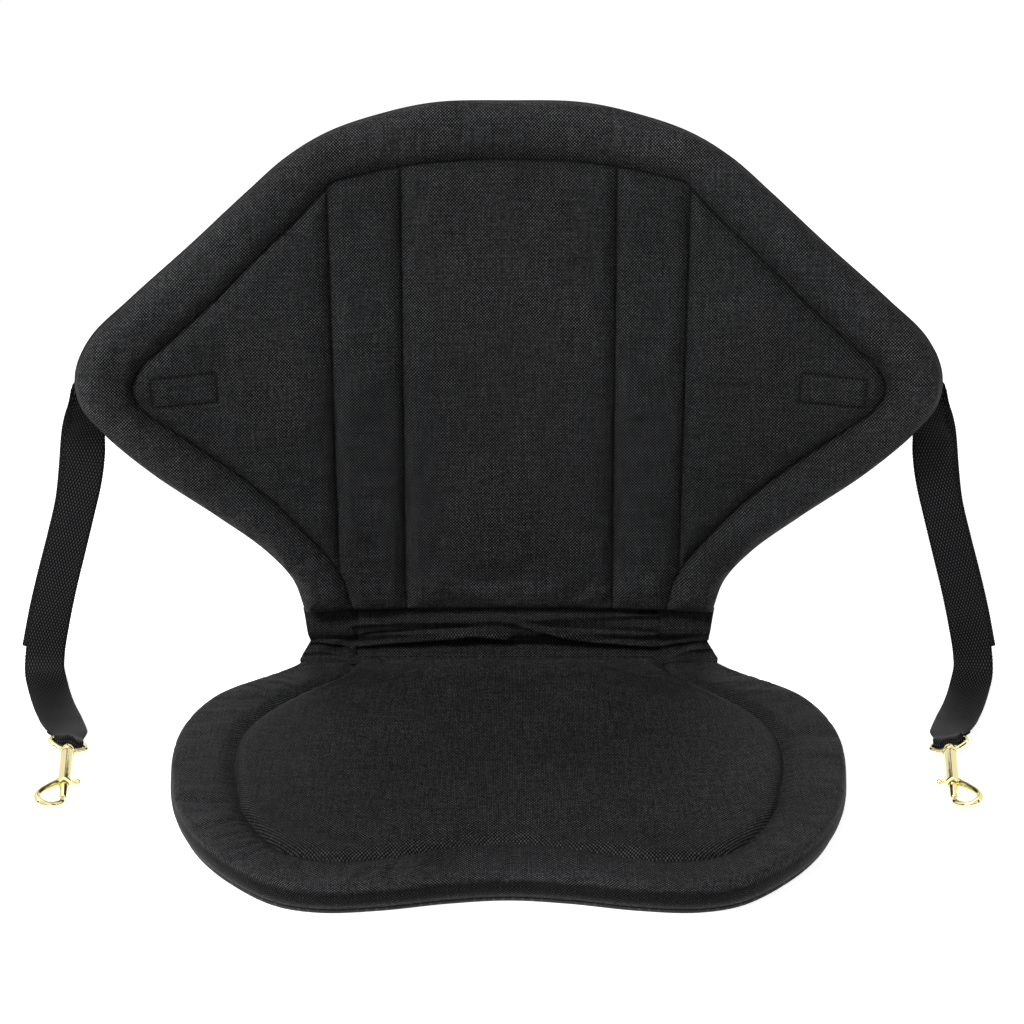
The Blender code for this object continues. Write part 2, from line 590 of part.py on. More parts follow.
def strap_stations(side):
    """(place, width direction, width) of every station of a strap, from its sewn end to its cut end.

    The webbing goes round the eye's bar and is sewn back on itself, runs up to the slide, passes
    in front of the outer bar, turns round the middle bar, and hangs down behind as the tail.
    """
    lock, lock_bar = slide_bar(side, LOCK_FROM_TIP)
    outer, _ = slide_bar(side, LOCK_FROM_TIP - BAR_SPACING)
    clear, _ = slide_bar(side, LOCK_FROM_TIP - BAR_SPACING - SLIDE_FLAT)
    places = [outward(p, side) for p, _ in STRAP_ROUTE] + [clear, outer, lock]
    widths = [unit([side * w[0], w[1], w[2]]) for _, w in STRAP_ROUTE] + [lock_bar] * 3
    line = curve_through(places, FINE)
    length = np.sum(np.linalg.norm(np.diff(line, axis=0), axis=1))
    at_eye = np.arange(8) * 0.0015
    at_lock = np.concatenate([length - 0.042 + np.arange(9) * 0.003, length - 0.016 + np.arange(9) * 0.002])
    run = np.concatenate([at_eye, np.linspace(0.012, length - 0.045, 44), at_lock])
    count = len(run)
    read_at = np.linspace(0, length, FINE)
    middle = np.stack([np.interp(run, read_at, line[:, k]) for k in range(3)], axis=1)
    share = [read_at[np.argmin(np.linalg.norm(line - p, axis=1))] for p in places]
    wide = np.stack([np.interp(run, share, np.array(widths)[:, k]) for k in range(3)], axis=1)
    along = np.gradient(middle, axis=0)
    along /= np.linalg.norm(along, axis=1)[:, None]
    wide = np.array([square_to(w, t) for w, t in zip(wide, along)])
    off = np.cross(wide, along) * side
    to_eye, to_lock = run, run[-1] - run
    lift = np.array([max(teardrop(a, EYE_WIRE / 2), slide_stand_off(b)) for a, b in zip(to_eye, to_lock)])
    spread = np.clip((to_eye - GATHER_START) / GATHER_LENGTH, 0, 1)
    size = STRAP_GATHERED_WIDTH + (STRAP_WIDTH - STRAP_GATHERED_WIDTH) * spread

    flap = [(middle[k] - off[k] * teardrop(to_eye[k], EYE_WIRE / 2), wide[k], size[k])
            for k in range(count - 1, -1, -1) if to_eye[k] < FLAP_LENGTH]
    eye_turn = [(p, wide[0], STRAP_GATHERED_WIDTH)
                for p in around(middle[0], -off[0], -along[0], teardrop(0, EYE_WIRE / 2))]
    main = [(middle[k] + off[k] * lift[k], wide[k], size[k]) for k in range(count)]
    lock_turn = [(p, wide[-1], STRAP_WIDTH) for p in around(middle[-1], off[-1], along[-1], lift[-1])]
    behind = [(middle[k] - off[k] * lift[k], wide[k], STRAP_WIDTH)
              for k in range(count - 1, 0, -1) if to_lock[k] < BAR_SPACING + SLIDE_FLAT + LAYER_GAP]
    tail_places = [behind[-1][0]] + [outward(p, side) for p, _ in TAIL_ROUTE]
    tail_widths = [behind[-1][1]] + [unit([side * w[0], w[1], w[2]]) for _, w in TAIL_ROUTE]
    tail_line = curve_through(tail_places, 36)
    share = [int(np.argmin(np.linalg.norm(tail_line - p, axis=1))) for p in tail_places]
    tail = [(p, np.array([np.interp(k, share, np.array(tail_widths)[:, i]) for i in range(3)]), STRAP_WIDTH)
            for k, p in enumerate(tail_line)][1:]
    return flap + eye_turn + main + lock_turn + behind + tail


def slide_stand_off(distance):
    """How far each layer stands off the middle line where the strap passes the slide's bars."""
    share = min(max((distance - BAR_SPACING - SLIDE_FLAT) / SLIDE_FLARE, 0.0), 1.0)
    return round_slide_bar() * (1 - share * share * (3 - 2 * share))


def ribbon_rings(stations):
    """Four corners at each station of a ribbon of webbing."""
    places = np.array([p for p, _, _ in stations])
    along = np.gradient(places, axis=0)
    rings = []
    for (place, width, size), direction in zip(stations, along):
        across = square_to(width, unit(direction))
        normal = np.cross(unit(direction), across)
        rings.append([place + across * size * a / 2 + normal * STRAP_THICKNESS * b / 2
                      for a, b in ((-1, -1), (1, -1), (1, 1), (-1, 1))])
    return rings


def add_straps():
    for side, word in ((-1, "left"), (1, "right")):
        add_object("strap_" + word, *loft(ribbon_rings(strap_stations(side))), BLACK_WEBBING)
        add_object("anchor_strap_" + word, *loft(ribbon_rings(anchor_stations(side))), BLACK_WEBBING)
        add_slide("ladder_lock_" + word, side)


def anchor_stations(side):
    """Webbing sewn flat to the back of the wing, round the slide's inner bar and back on itself."""
    bar_from_tip = LOCK_FROM_TIP + BAR_SPACING
    end = BACK_WIDTH / 2 - ANCHOR_END_FROM_TIP
    bar = BACK_WIDTH / 2 - bar_from_tip
    turn = round_slide_bar()
    first = GAP + STRAP_THICKNESS / 2
    second = first + STRAP_THICKNESS + GAP
    ramp = [(0.0, 0.0), (0.35, 0.12), (0.7, 0.6), (1.0, 1.0)]
    sheet = bar - ANCHOR_RISE
    path = [(end, -first), ((end + sheet) / 2, -first)]
    path += [(sheet + (bar - sheet) * s, -first + (first - LOCK_BEHIND_WING + turn) * h) for s, h in ramp]
    path += [(bar + turn * math.sin(a), -LOCK_BEHIND_WING + turn * math.cos(a))
             for a in np.linspace(0, math.pi, 7)[1:-1]]
    path += [(bar - (bar - sheet) * s, -LOCK_BEHIND_WING - turn + (LOCK_BEHIND_WING + turn - second) * h)
             for s, h in ramp]
    path += [((end + sheet + ANCHOR_FLAP_SHORTER) / 2, -second), (end + ANCHOR_FLAP_SHORTER, -second)]
    stations = []
    for u, w in path:
        low = np.array(on_back(side * u, LOCK_HEIGHT_ON_WING, w))
        high = np.array(on_back(side * u, LOCK_HEIGHT_ON_WING + 0.01, w))
        stations.append((low, unit(high - low), STRAP_WIDTH))
    return stations


def add_slide(name, side):
    """A three-bar plastic slide: two side rails and three bars in one moulding."""
    inner = STRAP_WIDTH / 2 + SLIDE_CLEARANCE
    high = inner + LOCK_SIDE_WIDTH
    half_bar = LOCK_BAR_WIDTH / 2
    spots = [LOCK_FROM_TIP + BAR_SPACING, LOCK_FROM_TIP, LOCK_FROM_TIP - BAR_SPACING]
    us = [BACK_WIDTH / 2 - spot + edge for spot in spots for edge in (-half_bar, half_bar)]
    vs = [LOCK_HEIGHT_ON_WING + edge for edge in (-high, -inner, inner, high)]
    solid = bmesh.new()
    corners = {}

    def corner(i, j, k):
        if (i, j, k) not in corners:
            bar_row = LOCK_THICKNESS / 2
            corners[i, j, k] = solid.verts.new(
                on_back(side * us[i], vs[j], -LOCK_BEHIND_WING + (bar_row if k else -bar_row)))
        return corners[i, j, k]

    filled = {(i, j) for i in range(5) for j in range(3) if j != 1 or i % 2 == 0}
    for i, j in sorted(filled):
        for k in (0, 1):
            solid.faces.new([corner(i, j, k), corner(i + 1, j, k), corner(i + 1, j + 1, k), corner(i, j + 1, k)])
        for (di, dj), (p, q) in (((-1, 0), ((0, 0), (0, 1))), ((1, 0), ((1, 0), (1, 1))),
                                 ((0, -1), ((0, 0), (1, 0))), ((0, 1), ((0, 1), (1, 1)))):
            if (i + di, j + dj) not in filled:
                a, b = (i + p[0], j + p[1]), (i + q[0], j + q[1])
                solid.faces.new([corner(*a, 0), corner(*b, 0), corner(*b, 1), corner(*a, 1)])
    bmesh.ops.recalc_face_normals(solid, faces=solid.faces)
    mesh = bpy.data.meshes.new(name)
    solid.to_mesh(mesh)
    solid.free()
    mesh.materials.append(finish(BLACK_ACETAL))
    bpy.context.scene.collection.objects.link(bpy.data.objects.new(name, mesh))


def turned(profile, sides=16):
    """Rings of a solid turned about X from (along, radius) pairs."""
    return [[(a, r * math.cos(t), r * math.sin(t)) for t in np.arange(sides) * 2 * math.pi / sides]
            for a, r in profile]


def swept(points, radius, sides=8, closed=False, flat=1.0):
    """Rings of a round wire along a line in the XY plane, flat times as thick along Z."""
    line = np.asarray(points, float)
    if closed:
        along = np.roll(line, -1, axis=0) - np.roll(line, 1, axis=0)
    else:
        along = np.gradient(line, axis=0)
    rings = []
    for point, direction in zip(line, along):
        sideways = unit([-direction[1], direction[0], 0])
        rings.append([np.append(point, 0) + radius * (math.cos(t) * sideways + flat * math.sin(t) * np.array([0, 0, 1]))
                      for t in (np.arange(sides) + 0.5) * 2 * math.pi / sides])
    return rings


def add_tool(name, shape, frame):
    """A hidden solid that a Boolean joins to a piece or cuts from it."""
    tool = add_object(name, *shape, PALE_GOLD, frame)
    tool.hide_render = True
    tool.display_type = "WIRE"
    return tool


def combine(target, other, operation):
    change = target.modifiers.new(operation.lower() + "_" + other.name, "BOOLEAN")
    change.operation = operation
    change.object = other


def eye_line():
    """The eye's wire: a straight bar for the webbing and two shoulders that run in to the boss."""
    half = STRAP_GATHERED_WIDTH / 2 + EYE_CLEARANCE + EYE_WIRE / 2
    boss = BOSS_START + BOSS_LENGTH / 2
    right = [(0, half - EYE_CORNER), (EYE_CORNER * 0.3, half - EYE_CORNER * 0.3), (EYE_CORNER, half),
             (boss * 0.42, half), (boss * 0.76, half * 0.66), (boss * 0.96, half * 0.36)]
    return right + [(boss, 0)] + [(a, -b) for a, b in right[::-1]]


def add_hook(side, word):
    frame = hook_frame(side)
    boss = turned([(BOSS_START, BOSS_DIAMETER / 2), (BOSS_START + BOSS_LENGTH, BOSS_DIAMETER / 2)])
    eye = add_object("hook_eye_" + word, *loft(boss), PALE_GOLD, frame)
    wire = loft(swept(eye_line(), EYE_WIRE / 2, closed=True), closed_path=True)
    combine(eye, add_tool("eye_wire_" + word, wire, frame), "UNION")
    hole = STUD_DIAMETER / 2 + GAP
    hole_shape = loft(turned([(BOSS_START - BOSS_LENGTH, hole), (BARREL_START + MM, hole)]))
    combine(eye, add_tool("stud_hole_" + word, hole_shape, frame), "DIFFERENCE")

    stud, head, barrel = STUD_DIAMETER / 2, STUD_HEAD_DIAMETER / 2, BARREL_DIAMETER / 2
    head_end = BOSS_START - GAP
    head_start = head_end - STUD_HEAD_LENGTH
    shape = [(head_start, head - 2 * CHAMFER), (head_start + CHAMFER, head), (head_end, head), (head_end, stud),
             (BARREL_START, stud), (BARREL_START, barrel - CHAMFER), (BARREL_START + CHAMFER, barrel),
             (BARREL_END, barrel)]
    body = add_object("hook_body_" + word, *loft(turned(shape)), PALE_GOLD, frame)
    arm_line = curve_through(np.array(HOOK_ARM) * MM + (BARREL_END, 0), 20)
    arm = loft(swept(arm_line, HOOK_WIRE / 2, sides=10))
    combine(body, add_tool("hook_arm_" + word, arm, frame), "UNION")
    bore = loft(turned([(BORE_START, BORE_DIAMETER / 2), (BARREL_END + HOOK_WIRE, BORE_DIAMETER / 2)]))
    combine(body, add_tool("bore_" + word, bore, frame), "DIFFERENCE")
    slot_start = KNOB_PLACE - BOLT_TRAVEL - KNOB_NECK / 2 - SLOT_END_ROOM
    slot_end = KNOB_PLACE + KNOB_NECK / 2 + SLOT_END_ROOM
    slot_half = KNOB_NECK / 2 + GAP
    slot = [[(a, b, c) for b, c in ((0, -slot_half), (-BARREL_DIAMETER, -slot_half),
                                    (-BARREL_DIAMETER, slot_half), (0, slot_half))] for a in (slot_start, slot_end)]
    combine(body, add_tool("slot_" + word, loft(slot), frame), "DIFFERENCE")
    add_bolt(word, frame)
    add_spring(word, frame)


def add_bolt(word, frame):
    radius = BOLT_DIAMETER / 2
    rod = [(BOLT_START, radius - CHAMFER), (BOLT_START + CHAMFER, radius), (BOLT_END - CHAMFER, radius),
           (BOLT_END, radius - CHAMFER)]
    bolt = add_object("hook_bolt_" + word, *loft(turned(rod, 12)), PALE_GOLD, frame)
    neck, head, under_head = KNOB_NECK / 2, KNOB_HEAD / 2, KNOB_REACH - KNOB_HEAD_LENGTH
    profile = [(radius * 0.4, neck), (under_head - CHAMFER, neck), (under_head, head),
               (KNOB_REACH - CHAMFER, head), (KNOB_REACH, head - CHAMFER)]
    rings = [[(KNOB_PLACE + r * math.cos(t), -out, r * math.sin(t)) for t in np.arange(12) * math.pi / 6]
             for out, r in profile]
    combine(bolt, add_tool("knob_" + word, loft(rings), frame), "UNION")


def add_spring(word, frame):
    """A coil spring between the blind end of the bore and the bolt."""
    start = BORE_START + GAP + SPRING_WIRE / 2
    end = BOLT_START - GAP - SPRING_WIRE / 2
    radius = (SPRING_DIAMETER - SPRING_WIRE) / 2
    pitch = (end - start) / (2 * math.pi * SPRING_COILS)
    rings = []
    for turn in np.linspace(0, 2 * math.pi * SPRING_COILS, 46):
        outside = np.array([0, math.cos(turn), math.sin(turn)])
        around_axis = unit([pitch, -radius * math.sin(turn), radius * math.cos(turn)])
        middle = np.array([start + pitch * turn, 0, 0]) + radius * outside
        third = np.cross(around_axis, outside)
        rings.append([middle + SPRING_WIRE / 2 * (math.cos(t) * outside + math.sin(t) * third)
                      for t in np.arange(5) * 2 * math.pi / 5])
    add_object("hook_spring_" + word, *loft(rings), SPRING_STEEL, frame)


def main():
    clear_scene()
    add_seat()
    add_backrest()
    add_web()
    add_straps()
    for side, word in ((-1, "left"), (1, "right")):
        add_hook(side, word)


main()
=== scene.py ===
"""Kayak seat with its looks: quilted cloth covers, cloth web, webbing straps, bolt snap hooks.

Metres, in the model's own frame: the origin is the centre of the seat pad's underside, the front
of the seat faces -Y and the backrest stands at the rear. Cloth is laid out flat as (u, v), u across
and v up, and on_back() bends the backrest's cloth round the sitter.
"""
import math

import bpy
import numpy as np
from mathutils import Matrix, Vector
from mathutils.geometry import delaunay_2d_cdt


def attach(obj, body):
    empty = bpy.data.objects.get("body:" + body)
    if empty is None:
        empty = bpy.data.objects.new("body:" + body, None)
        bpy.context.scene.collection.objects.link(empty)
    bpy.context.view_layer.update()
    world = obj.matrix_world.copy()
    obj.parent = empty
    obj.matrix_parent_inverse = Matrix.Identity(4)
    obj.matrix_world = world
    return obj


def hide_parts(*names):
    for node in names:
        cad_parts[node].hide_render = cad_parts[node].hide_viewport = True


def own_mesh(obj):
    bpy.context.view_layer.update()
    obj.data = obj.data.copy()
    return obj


bl_info = {
    "name": "Kayak seat",
    "version": (1, 0, 0),
    "blender": (4, 5, 0),
    "location": "3D View > Sidebar > Kayak seat",
    "description": "Builds the covers, web, straps, slides and snap hooks of a padded kayak seat",
    "category": "Object",
}

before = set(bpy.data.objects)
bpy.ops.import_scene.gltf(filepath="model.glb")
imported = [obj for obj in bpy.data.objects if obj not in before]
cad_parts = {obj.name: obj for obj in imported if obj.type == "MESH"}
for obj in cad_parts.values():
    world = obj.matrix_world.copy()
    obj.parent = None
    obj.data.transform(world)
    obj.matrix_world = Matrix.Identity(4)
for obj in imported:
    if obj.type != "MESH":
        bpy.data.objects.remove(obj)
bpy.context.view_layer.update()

MM = 0.001
SIDES = ((-1, "left"), (1, "right"))

# Seat pad
SEAT_DEPTH = 0.281
SEAT_THICKNESS = 0.018
SEAT_BASE_THICKNESS = 0.0025

# Backrest
BACK_WIDTH = 0.532
BACK_THICKNESS = 0.018
BACK_PAD_TOP = 0.0158
BACK_LEAN = math.radians(7)
WRAP_RADIUS = 0.850
BACK_FOOT = 0.020
FOLD_BEHIND_SEAT = 0.018
FOLD_HEIGHT = 0.026

# The channels' stitch lines, each as far from the middle as this and up to about this height
CHANNEL_INNER = 0.066
CHANNEL_INNER_TOP = 0.296
CHANNEL_OUTER = 0.108
CHANNEL_OUTER_TOP = 0.282
CHANNEL_OUTER_FOOT = 0.045

# Right halves of the cloth's outlines and stitch lines, in millimetres
BACK_OUTLINE = [(130, 20), (137, 40), (154, 60), (183, 83), (222, 112), (250, 138), (264, 157),
                (266, 177), (256, 198), (232, 220), (194, 252), (160, 282), (135, 303), (109, 318),
                (75, 329), (44, 335), (0, 336)]
BACK_RING = [(100, 20), (108, 45), (133, 76), (155, 98), (181, 119), (207, 138), (226, 153),
             (233, 165), (228, 178), (211, 193), (185, 215), (155, 243), (131, 265), (113, 283),
             (108, 288), (101, 290), (66, 297), (39, 300), (0, 301)]
SEAT_OUTLINE = [(133, 141), (140, 132), (149, 121), (165, 105), (181, 85), (191, 58), (195, 25),
                (192, -10), (185, -46), (171, -80), (150, -109), (122, -133), (97, -140),
                (66, -138), (30, -131), (0, -128)]
SEAT_GROOVE = [(97, 141), (99, 130), (106, 116), (125, 94), (143, 70), (155, 44), (158, 18),
               (156, -8), (152, -28), (146, -54), (134, -79), (119, -98), (103, -106), (84, -108),
               (61, -104), (38, -97), (12, -92), (0, -91)]
BOX_STITCH = [(181, 157), (221, 155), (222, 172), (182, 175)]
BOX_STITCH_DEPTH = 0.0012
BOX_STITCH_WIDTH = 0.0018

# Height of the covers at their edge and stitches, and the radius of each rounding
BACK_SIDE = 0.0045
FOOT_SIDE = 0.0100
# The backrest's foot is square below this height and within this half width, and blends in above
FOOT_TOP = 0.042
FOOT_TOP_BLEND = 0.018
FOOT_HALF = 0.138
FOOT_HALF_BLEND = 0.012
BACK_SEAM = 0.0108
BACK_EDGE_ROUND = 0.014
BACK_SEAM_ROUND = 0.0115
BACK_REAR_ROUND = 0.0045
REAR_TUCK = 0.0007
REAR_TUCK_WIDTH = 0.0022
SEAT_SIDE = 0.0105
SEAT_GROOVE_TOP = 0.0135
SEAT_EDGE_ROUND = 0.0058
SEAT_GROOVE_ROUND = 0.012
SEAT_PAD_ROUND = 0.0095
SEAT_BOTTOM = 0.0024
SEAT_TUCK = 0.0045
SEAT_MAP_STRETCH = 1.8
# Added to the distance from the seat's groove, so that the painted shade along the groove is lighter
GROOVE_LIGHTER_SHADE = 0.0007
SEAT_BASE_MARGIN = 0.003
SEAT_BASE_STEP = 0.003
# The seat's rim gets flatter by this share towards the rear, from this place over this run
REAR_FLATTER = 0.34
REAR_FLATTER_FROM = 0.085
REAR_FLATTER_RUN = 0.055

# The covers' triangles: spacing, and the rows beside the edge and the stitches
LATTICE = 0.0024
EDGE_ROWS = (0.0002, 0.0008, 0.0018, 0.0032, 0.0052)
SEAM_ROWS = (0.0007, 0.0018)

# Small waves beside the stitches. On the seat they are low, and high at the front left
GATHER_PITCH = 0.0105
GATHER_REACH = 0.0045
GATHER_PATCHES = (0.043, 0.019)
CLEAR_OF_EDGE = 0.006
CREASE_CLEAR_OF_EDGE = 0.003
SEAT_GATHERS = 0.25
SEAT_GATHERS_LEFT = 1.5
SEAT_GATHERS_FROM = (-0.10, 0.03)
SEAT_GATHERS_BLEND = 0.04

# The cloth is held this near to its stitches and edge while it is filled
HELD_AT_SEAM = 0.0004
HELD_AT_BOX = 0.0008
HELD_AT_GROOVE = 0.0008
HELD_AT_EDGE = 0.0010
SEAT_SWELL_SHARE = 0.4
CLOTH_FRAMES = 20
CLOTH_PRESSURE = 4.0

# Folds in the padded cloth: width and depth, then the line, all in millimetres
BACK_CREASES = [(2.4, 1.0, [(143, 258), (147, 268), (142, 281)]),
                (2.6, 1.1, [(210, 204), (216, 214), (212, 227)]),
                (1.5, 0.7, [(248, 186), (256, 190), (263, 188)]),
                (2.0, 0.8, [(-168, 262), (-176, 270), (-186, 264)]),
                (2.0, 0.8, [(-238, 150), (-246, 146), (-255, 150)]),
                (1.8, 0.6, [(-30, 310), (-26, 320), (-30, 332)]),
                (1.8, 0.6, [(58, 302), (64, 312), (62, 328)]),
                (2.0, 0.7, [(120, 60), (128, 56), (140, 52)]),
                (2.0, 0.7, [(-118, 62), (-126, 58), (-138, 50)])]
SEAT_CREASES = [(2.2, 1.7, [(1, -104), (3, -112), (0, -122), (-2, -136)]),
                (2.6, 0.9, [(121, -106), (125, -116), (121, -128), (123, -137)]),
                (3.0, 0.8, [(-150, -70), (-160, -79), (-172, -80)]),
                (3.0, 0.8, [(-155, -48), (-166, -50), (-182, -46)]),
                (3.0, 0.8, [(160, 26), (172, 33), (189, 31)]),
                (2.6, 0.7, [(-100, -104), (-108, -116), (-103, -130)]),
                (2.4, 0.6, [(60, -101), (66, -112), (60, -124), (63, -136)]),
                (2.4, 0.8, [(-62, -101), (-55, -110), (-61, -122), (-57, -137)])]

# Web between seat and back: its section down the middle as shares of the way back and up,
# from inside the seat's rear edge to inside the backrest's foot
WEB_THICKNESS = 0.002
WEB_INSIDE_BACK = 0.0088
WEB_START_SHARE = 0.7222
WEB_SECTION = [(-0.045, 0.0), (0.231, 0.019), (0.50, -0.031), (0.827, 0.046), (0.981, 0.232),
               (0.885, 0.370), (0.635, 0.525), (0.769, 0.710), (0.962, 0.864), (1.0, 1.0)]
# Half the web's width in metres at each share of its section
WEB_HALVES = [(0.0, 0.126), (0.03, 0.1295), (0.08, 0.1325), (0.2, 0.1335),
              (0.32, 0.1305), (0.45, 0.1265), (0.6, 0.1275), (1.0, 0.1305)]
WEB_LENGTH = 0.0524
WEB_SEAM = 0.0965
WEB_BEHIND_SEAT = 0.0003
WEB_BELOW_FOOT = 0.00045
WEB_MAP_SHIFT = 0.3
# Crumples: their height, how much more there is outside the seams, and the share where the web is sewn flat
CRUMPLE = 0.00022
CRUMPLE_OUTSIDE = 2.6
SEWN_FLAT = 0.08
# Folds of the web: height and width in millimetres, then points (x in millimetres, share of the section)
WEB_FOLDS = [(3.0, 2.6, [(-100, 0.76), (-79, 0.79), (-1, 0.82), (94, 0.91)]),
             (2.6, 2.2, [(-97, 0.40), (-50, 0.54), (-20, 0.62), (-1, 0.56)]),
             (3.0, 2.2, [(-1, 0.80), (29, 0.64), (57, 0.50), (93, 0.40)]),
             (1.6, 1.6, [(-132, 0.44), (-116, 0.47), (-103, 0.40), (-98, 0.30)]),
             (1.4, 1.4, [(-134, 0.28), (-118, 0.30), (-104, 0.22)]),
             (1.7, 1.6, [(131, 0.56), (112, 0.47), (97, 0.40)]),
             (1.4, 1.4, [(134, 0.36), (118, 0.34), (104, 0.22)]),
             (-1.5, 2.4, [(-75, 0.36), (0, 0.40), (93, 0.31)]),
             (-1.8, 2.4, [(18, 0.72), (55, 0.70), (93, 0.64)]),
             (-1.8, 2.0, [(-90, 0.60), (-60, 0.67), (-25, 0.72)]),
             (-1.0, 1.0, [(-96.5, 0.2), (-96.5, 0.94)]),
             (-1.0, 1.0, [(96.5, 0.2), (96.5, 0.94)])]

# Straps, anchors and slides
STRAP_WIDTH = 0.025
STRAP_THICKNESS = 0.0015
STRAP_GATHERED_WIDTH = 0.0175
GATHER_START = 0.004
GATHER_LENGTH = 0.020
FLAP_LENGTH = 0.030
FLAP_WIDTH_SHARE = 0.9
LAYER_GAP = 0.0005
EYE_FLARE = 0.010
EYE_CURL = 0.0026
EYE_BEND_SHARE = 0.35
EYE_BEND_RUN = 0.010
EYE_DROOP_RUN = 0.0045
CURL_AFTER_FLAP = 0.0035
WEFT_PITCH = 0.0020
SELVEDGE_WAVE = 0.014
RIBBON_STEP = 0.0009
# Where a strap is read in fine steps: at the eye and at the slide
EYE_FINE_RUN = 0.012
EYE_FINE_STEP = 0.0012
LOCK_FINE_RUN = 0.045
LOCK_FINE_STEP = 0.0015
HALF_TURN_POINTS = 9
TAIL_POINTS = 90
LOCK_BAR_WIDTH = 0.0024
LOCK_THICKNESS = 0.0028
LOCK_SIDE_WIDTH = 0.0030
LOCK_HEIGHT_ON_WING = 0.165
LOCK_BEHIND_WING = 0.0070
LOCK_FROM_TIP = 0.0300
BAR_SPACING = 0.0087
ANCHOR_END_FROM_TIP = 0.090
ANCHOR_FLAP_SHORTER = 0.006
ANCHOR_RISE = 0.014
SLIDE_CLEARANCE = 0.0006
SLIDE_FLARE = 0.012
SLIDE_FLAT = 0.0035
SLIDE_ROUND = 0.0007

# Sewing: how finely a row is read, the web's rows as share of its section and half length, its
# seams' shares, and the box that holds an anchor: its two ends from the middle and half its height
ROW_STEP = 0.0012
WEB_ROWS = ((0.235, 0.097), (0.955, 0.124))
WEB_SEAM_SHARES = (0.24, 0.94)
ANCHOR_BOX = (0.186, 0.207)
ANCHOR_BOX_HALF = 0.0095
THREAD_OVER_BACK = 0.00012
THREAD_IN_REAR = 0.0001
THREAD_OVER_WEB = 0.0002
ANCHOR_GAP = 0.0006

# Bolt snap hook, along its own axis from the eye's bar
EYE_WIRE = 0.0028
EYE_CORNER = 0.0022
BOSS_START = 0.0074
BOSS_LENGTH = 0.0034
BOSS_DIAMETER = 0.0080
STUD_DIAMETER = 0.0036
STUD_HEAD_DIAMETER = 0.0060
STUD_HEAD_LENGTH = 0.0016
BORE_DIAMETER = 0.0056
BARREL_DIAMETER = 0.0084
BARREL_START = 0.0112
BARREL_END = 0.0410
BLIND_WALL = 0.0028
BOLT_CLEARANCE = 0.0004
SPRING_ROOM = 0.0140
SPRING_WIRE = 0.0007
SPRING_CLEARANCE = 0.00035
SPRING_GAP = 0.0003
SPRING_COILS = 4.5
BOLT_TIP_GAP = 0.0005
BOLT_TRAVEL = 0.0090
KNOB_FROM_MOUTH = 0.0045
KNOB_NECK = 0.0024
KNOB_HEAD = 0.0044
KNOB_HEAD_LENGTH = 0.0026
KNOB_REACH = 0.0092
HOOK_WIRE = 0.0042
HOOK_HEADING = (-0.07, -0.985, -0.155)

# The hook's open arm: (along the axis from the barrel's mouth, out from it) in millimetres
HOOK_ARM = [(-3.5, 2.6), (0.5, 4.6), (5.5, 9.0), (11.0, 13.0), (15.5, 14.4), (19.3, 13.2),
            (21.1, 9.8), (20.6, 5.6), (18.6, 2.2), (16.4, 0.4), (13.8, 0.0)]

# A strap's middle line from the eye to the slide, and the free end behind it: (outward from the
# seat's middle, y, z) in millimetres, each with the direction of its width
STRAP_ROUTE = [((258.0, 31.0, 13.5), (0.93, -0.19, 0.34)), ((263.0, 50.0, 9.5), (0.96, -0.20, 0.18)),
               ((272.5, 78.0, 3.6), (0.97, -0.28, 0.00)), ((283.0, 106.0, 0.7), (0.97, -0.25, 0.00)),
               ((291.0, 129.0, 1.6), (0.99, -0.15, 0.00)), ((295.5, 142.5, 8.0), (1.0, -0.05, 0.0)),
               ((295.0, 149.0, 21.0), (1.0, 0.0, 0.05)), ((291.0, 150.5, 40.0), (1.0, 0.0, 0.10)),
               ((285.0, 150.0, 63.0), (1.0, 0.0, 0.20)), ((278.0, 151.0, 87.0), (1.0, 0.0, 0.25)),
               ((270.5, 152.5, 113.0), (1.0, 0.0, 0.22)), ((265.0, 154.0, 133.0), (1.0, 0.0, 0.12)),
               ((262.5, 155.0, 148.0), (1.0, -0.10, 0.0)), ((261.5, 154.5, 160.0), (0.90, -0.40, 0.05)),
               ((259.5, 152.5, 172.0), (0.68, -0.70, 0.20)), ((258.5, 151.5, 181.5), (0.60, -0.70, 0.30)),
               ((256.5, 150.5, 188.0), (0.40, -0.60, 0.60)), ((251.5, 149.0, 192.5), (0.10, -0.15, 0.98))]
TAIL_ROUTE = [((256.5, 159.0, 188.0), (0.32, -0.50, 0.74)), ((261.0, 161.0, 178.0), (0.60, -0.60, 0.40)),
              ((264.5, 163.5, 164.0), (0.88, -0.35, 0.15)), ((268.5, 164.5, 138.0), (1.0, -0.05, 0.12)),
              ((273.0, 164.5, 113.0), (1.0, 0.0, 0.22)), ((280.5, 164.0, 87.0), (1.0, 0.0, 0.25)),
              ((288.0, 163.5, 63.0), (1.0, 0.0, 0.24)), ((295.0, 163.0, 39.0), (1.0, 0.0, 0.22)),
              ((301.5, 162.5, 13.0), (1.0, 0.0, 0.20))]

# Noises in the finishes, as grains to the metre: fibres are 0.7 mm apart and worn patches 90 mm
FIBRES = 1500.0
# Scale of the random painted glints on the yarn crossings
CROSSING_GLINTS = 620.0
WORN_PATCHES = 11.0
WEBBING_FIBRES = 1300.0
WEBBING_PATCHES = 40.0
PLAIN_PATCHES = 45.0
# The underside's printed dots and its yarns
DOT_SPACING = 0.0050
YARN_SPACING = 0.0008

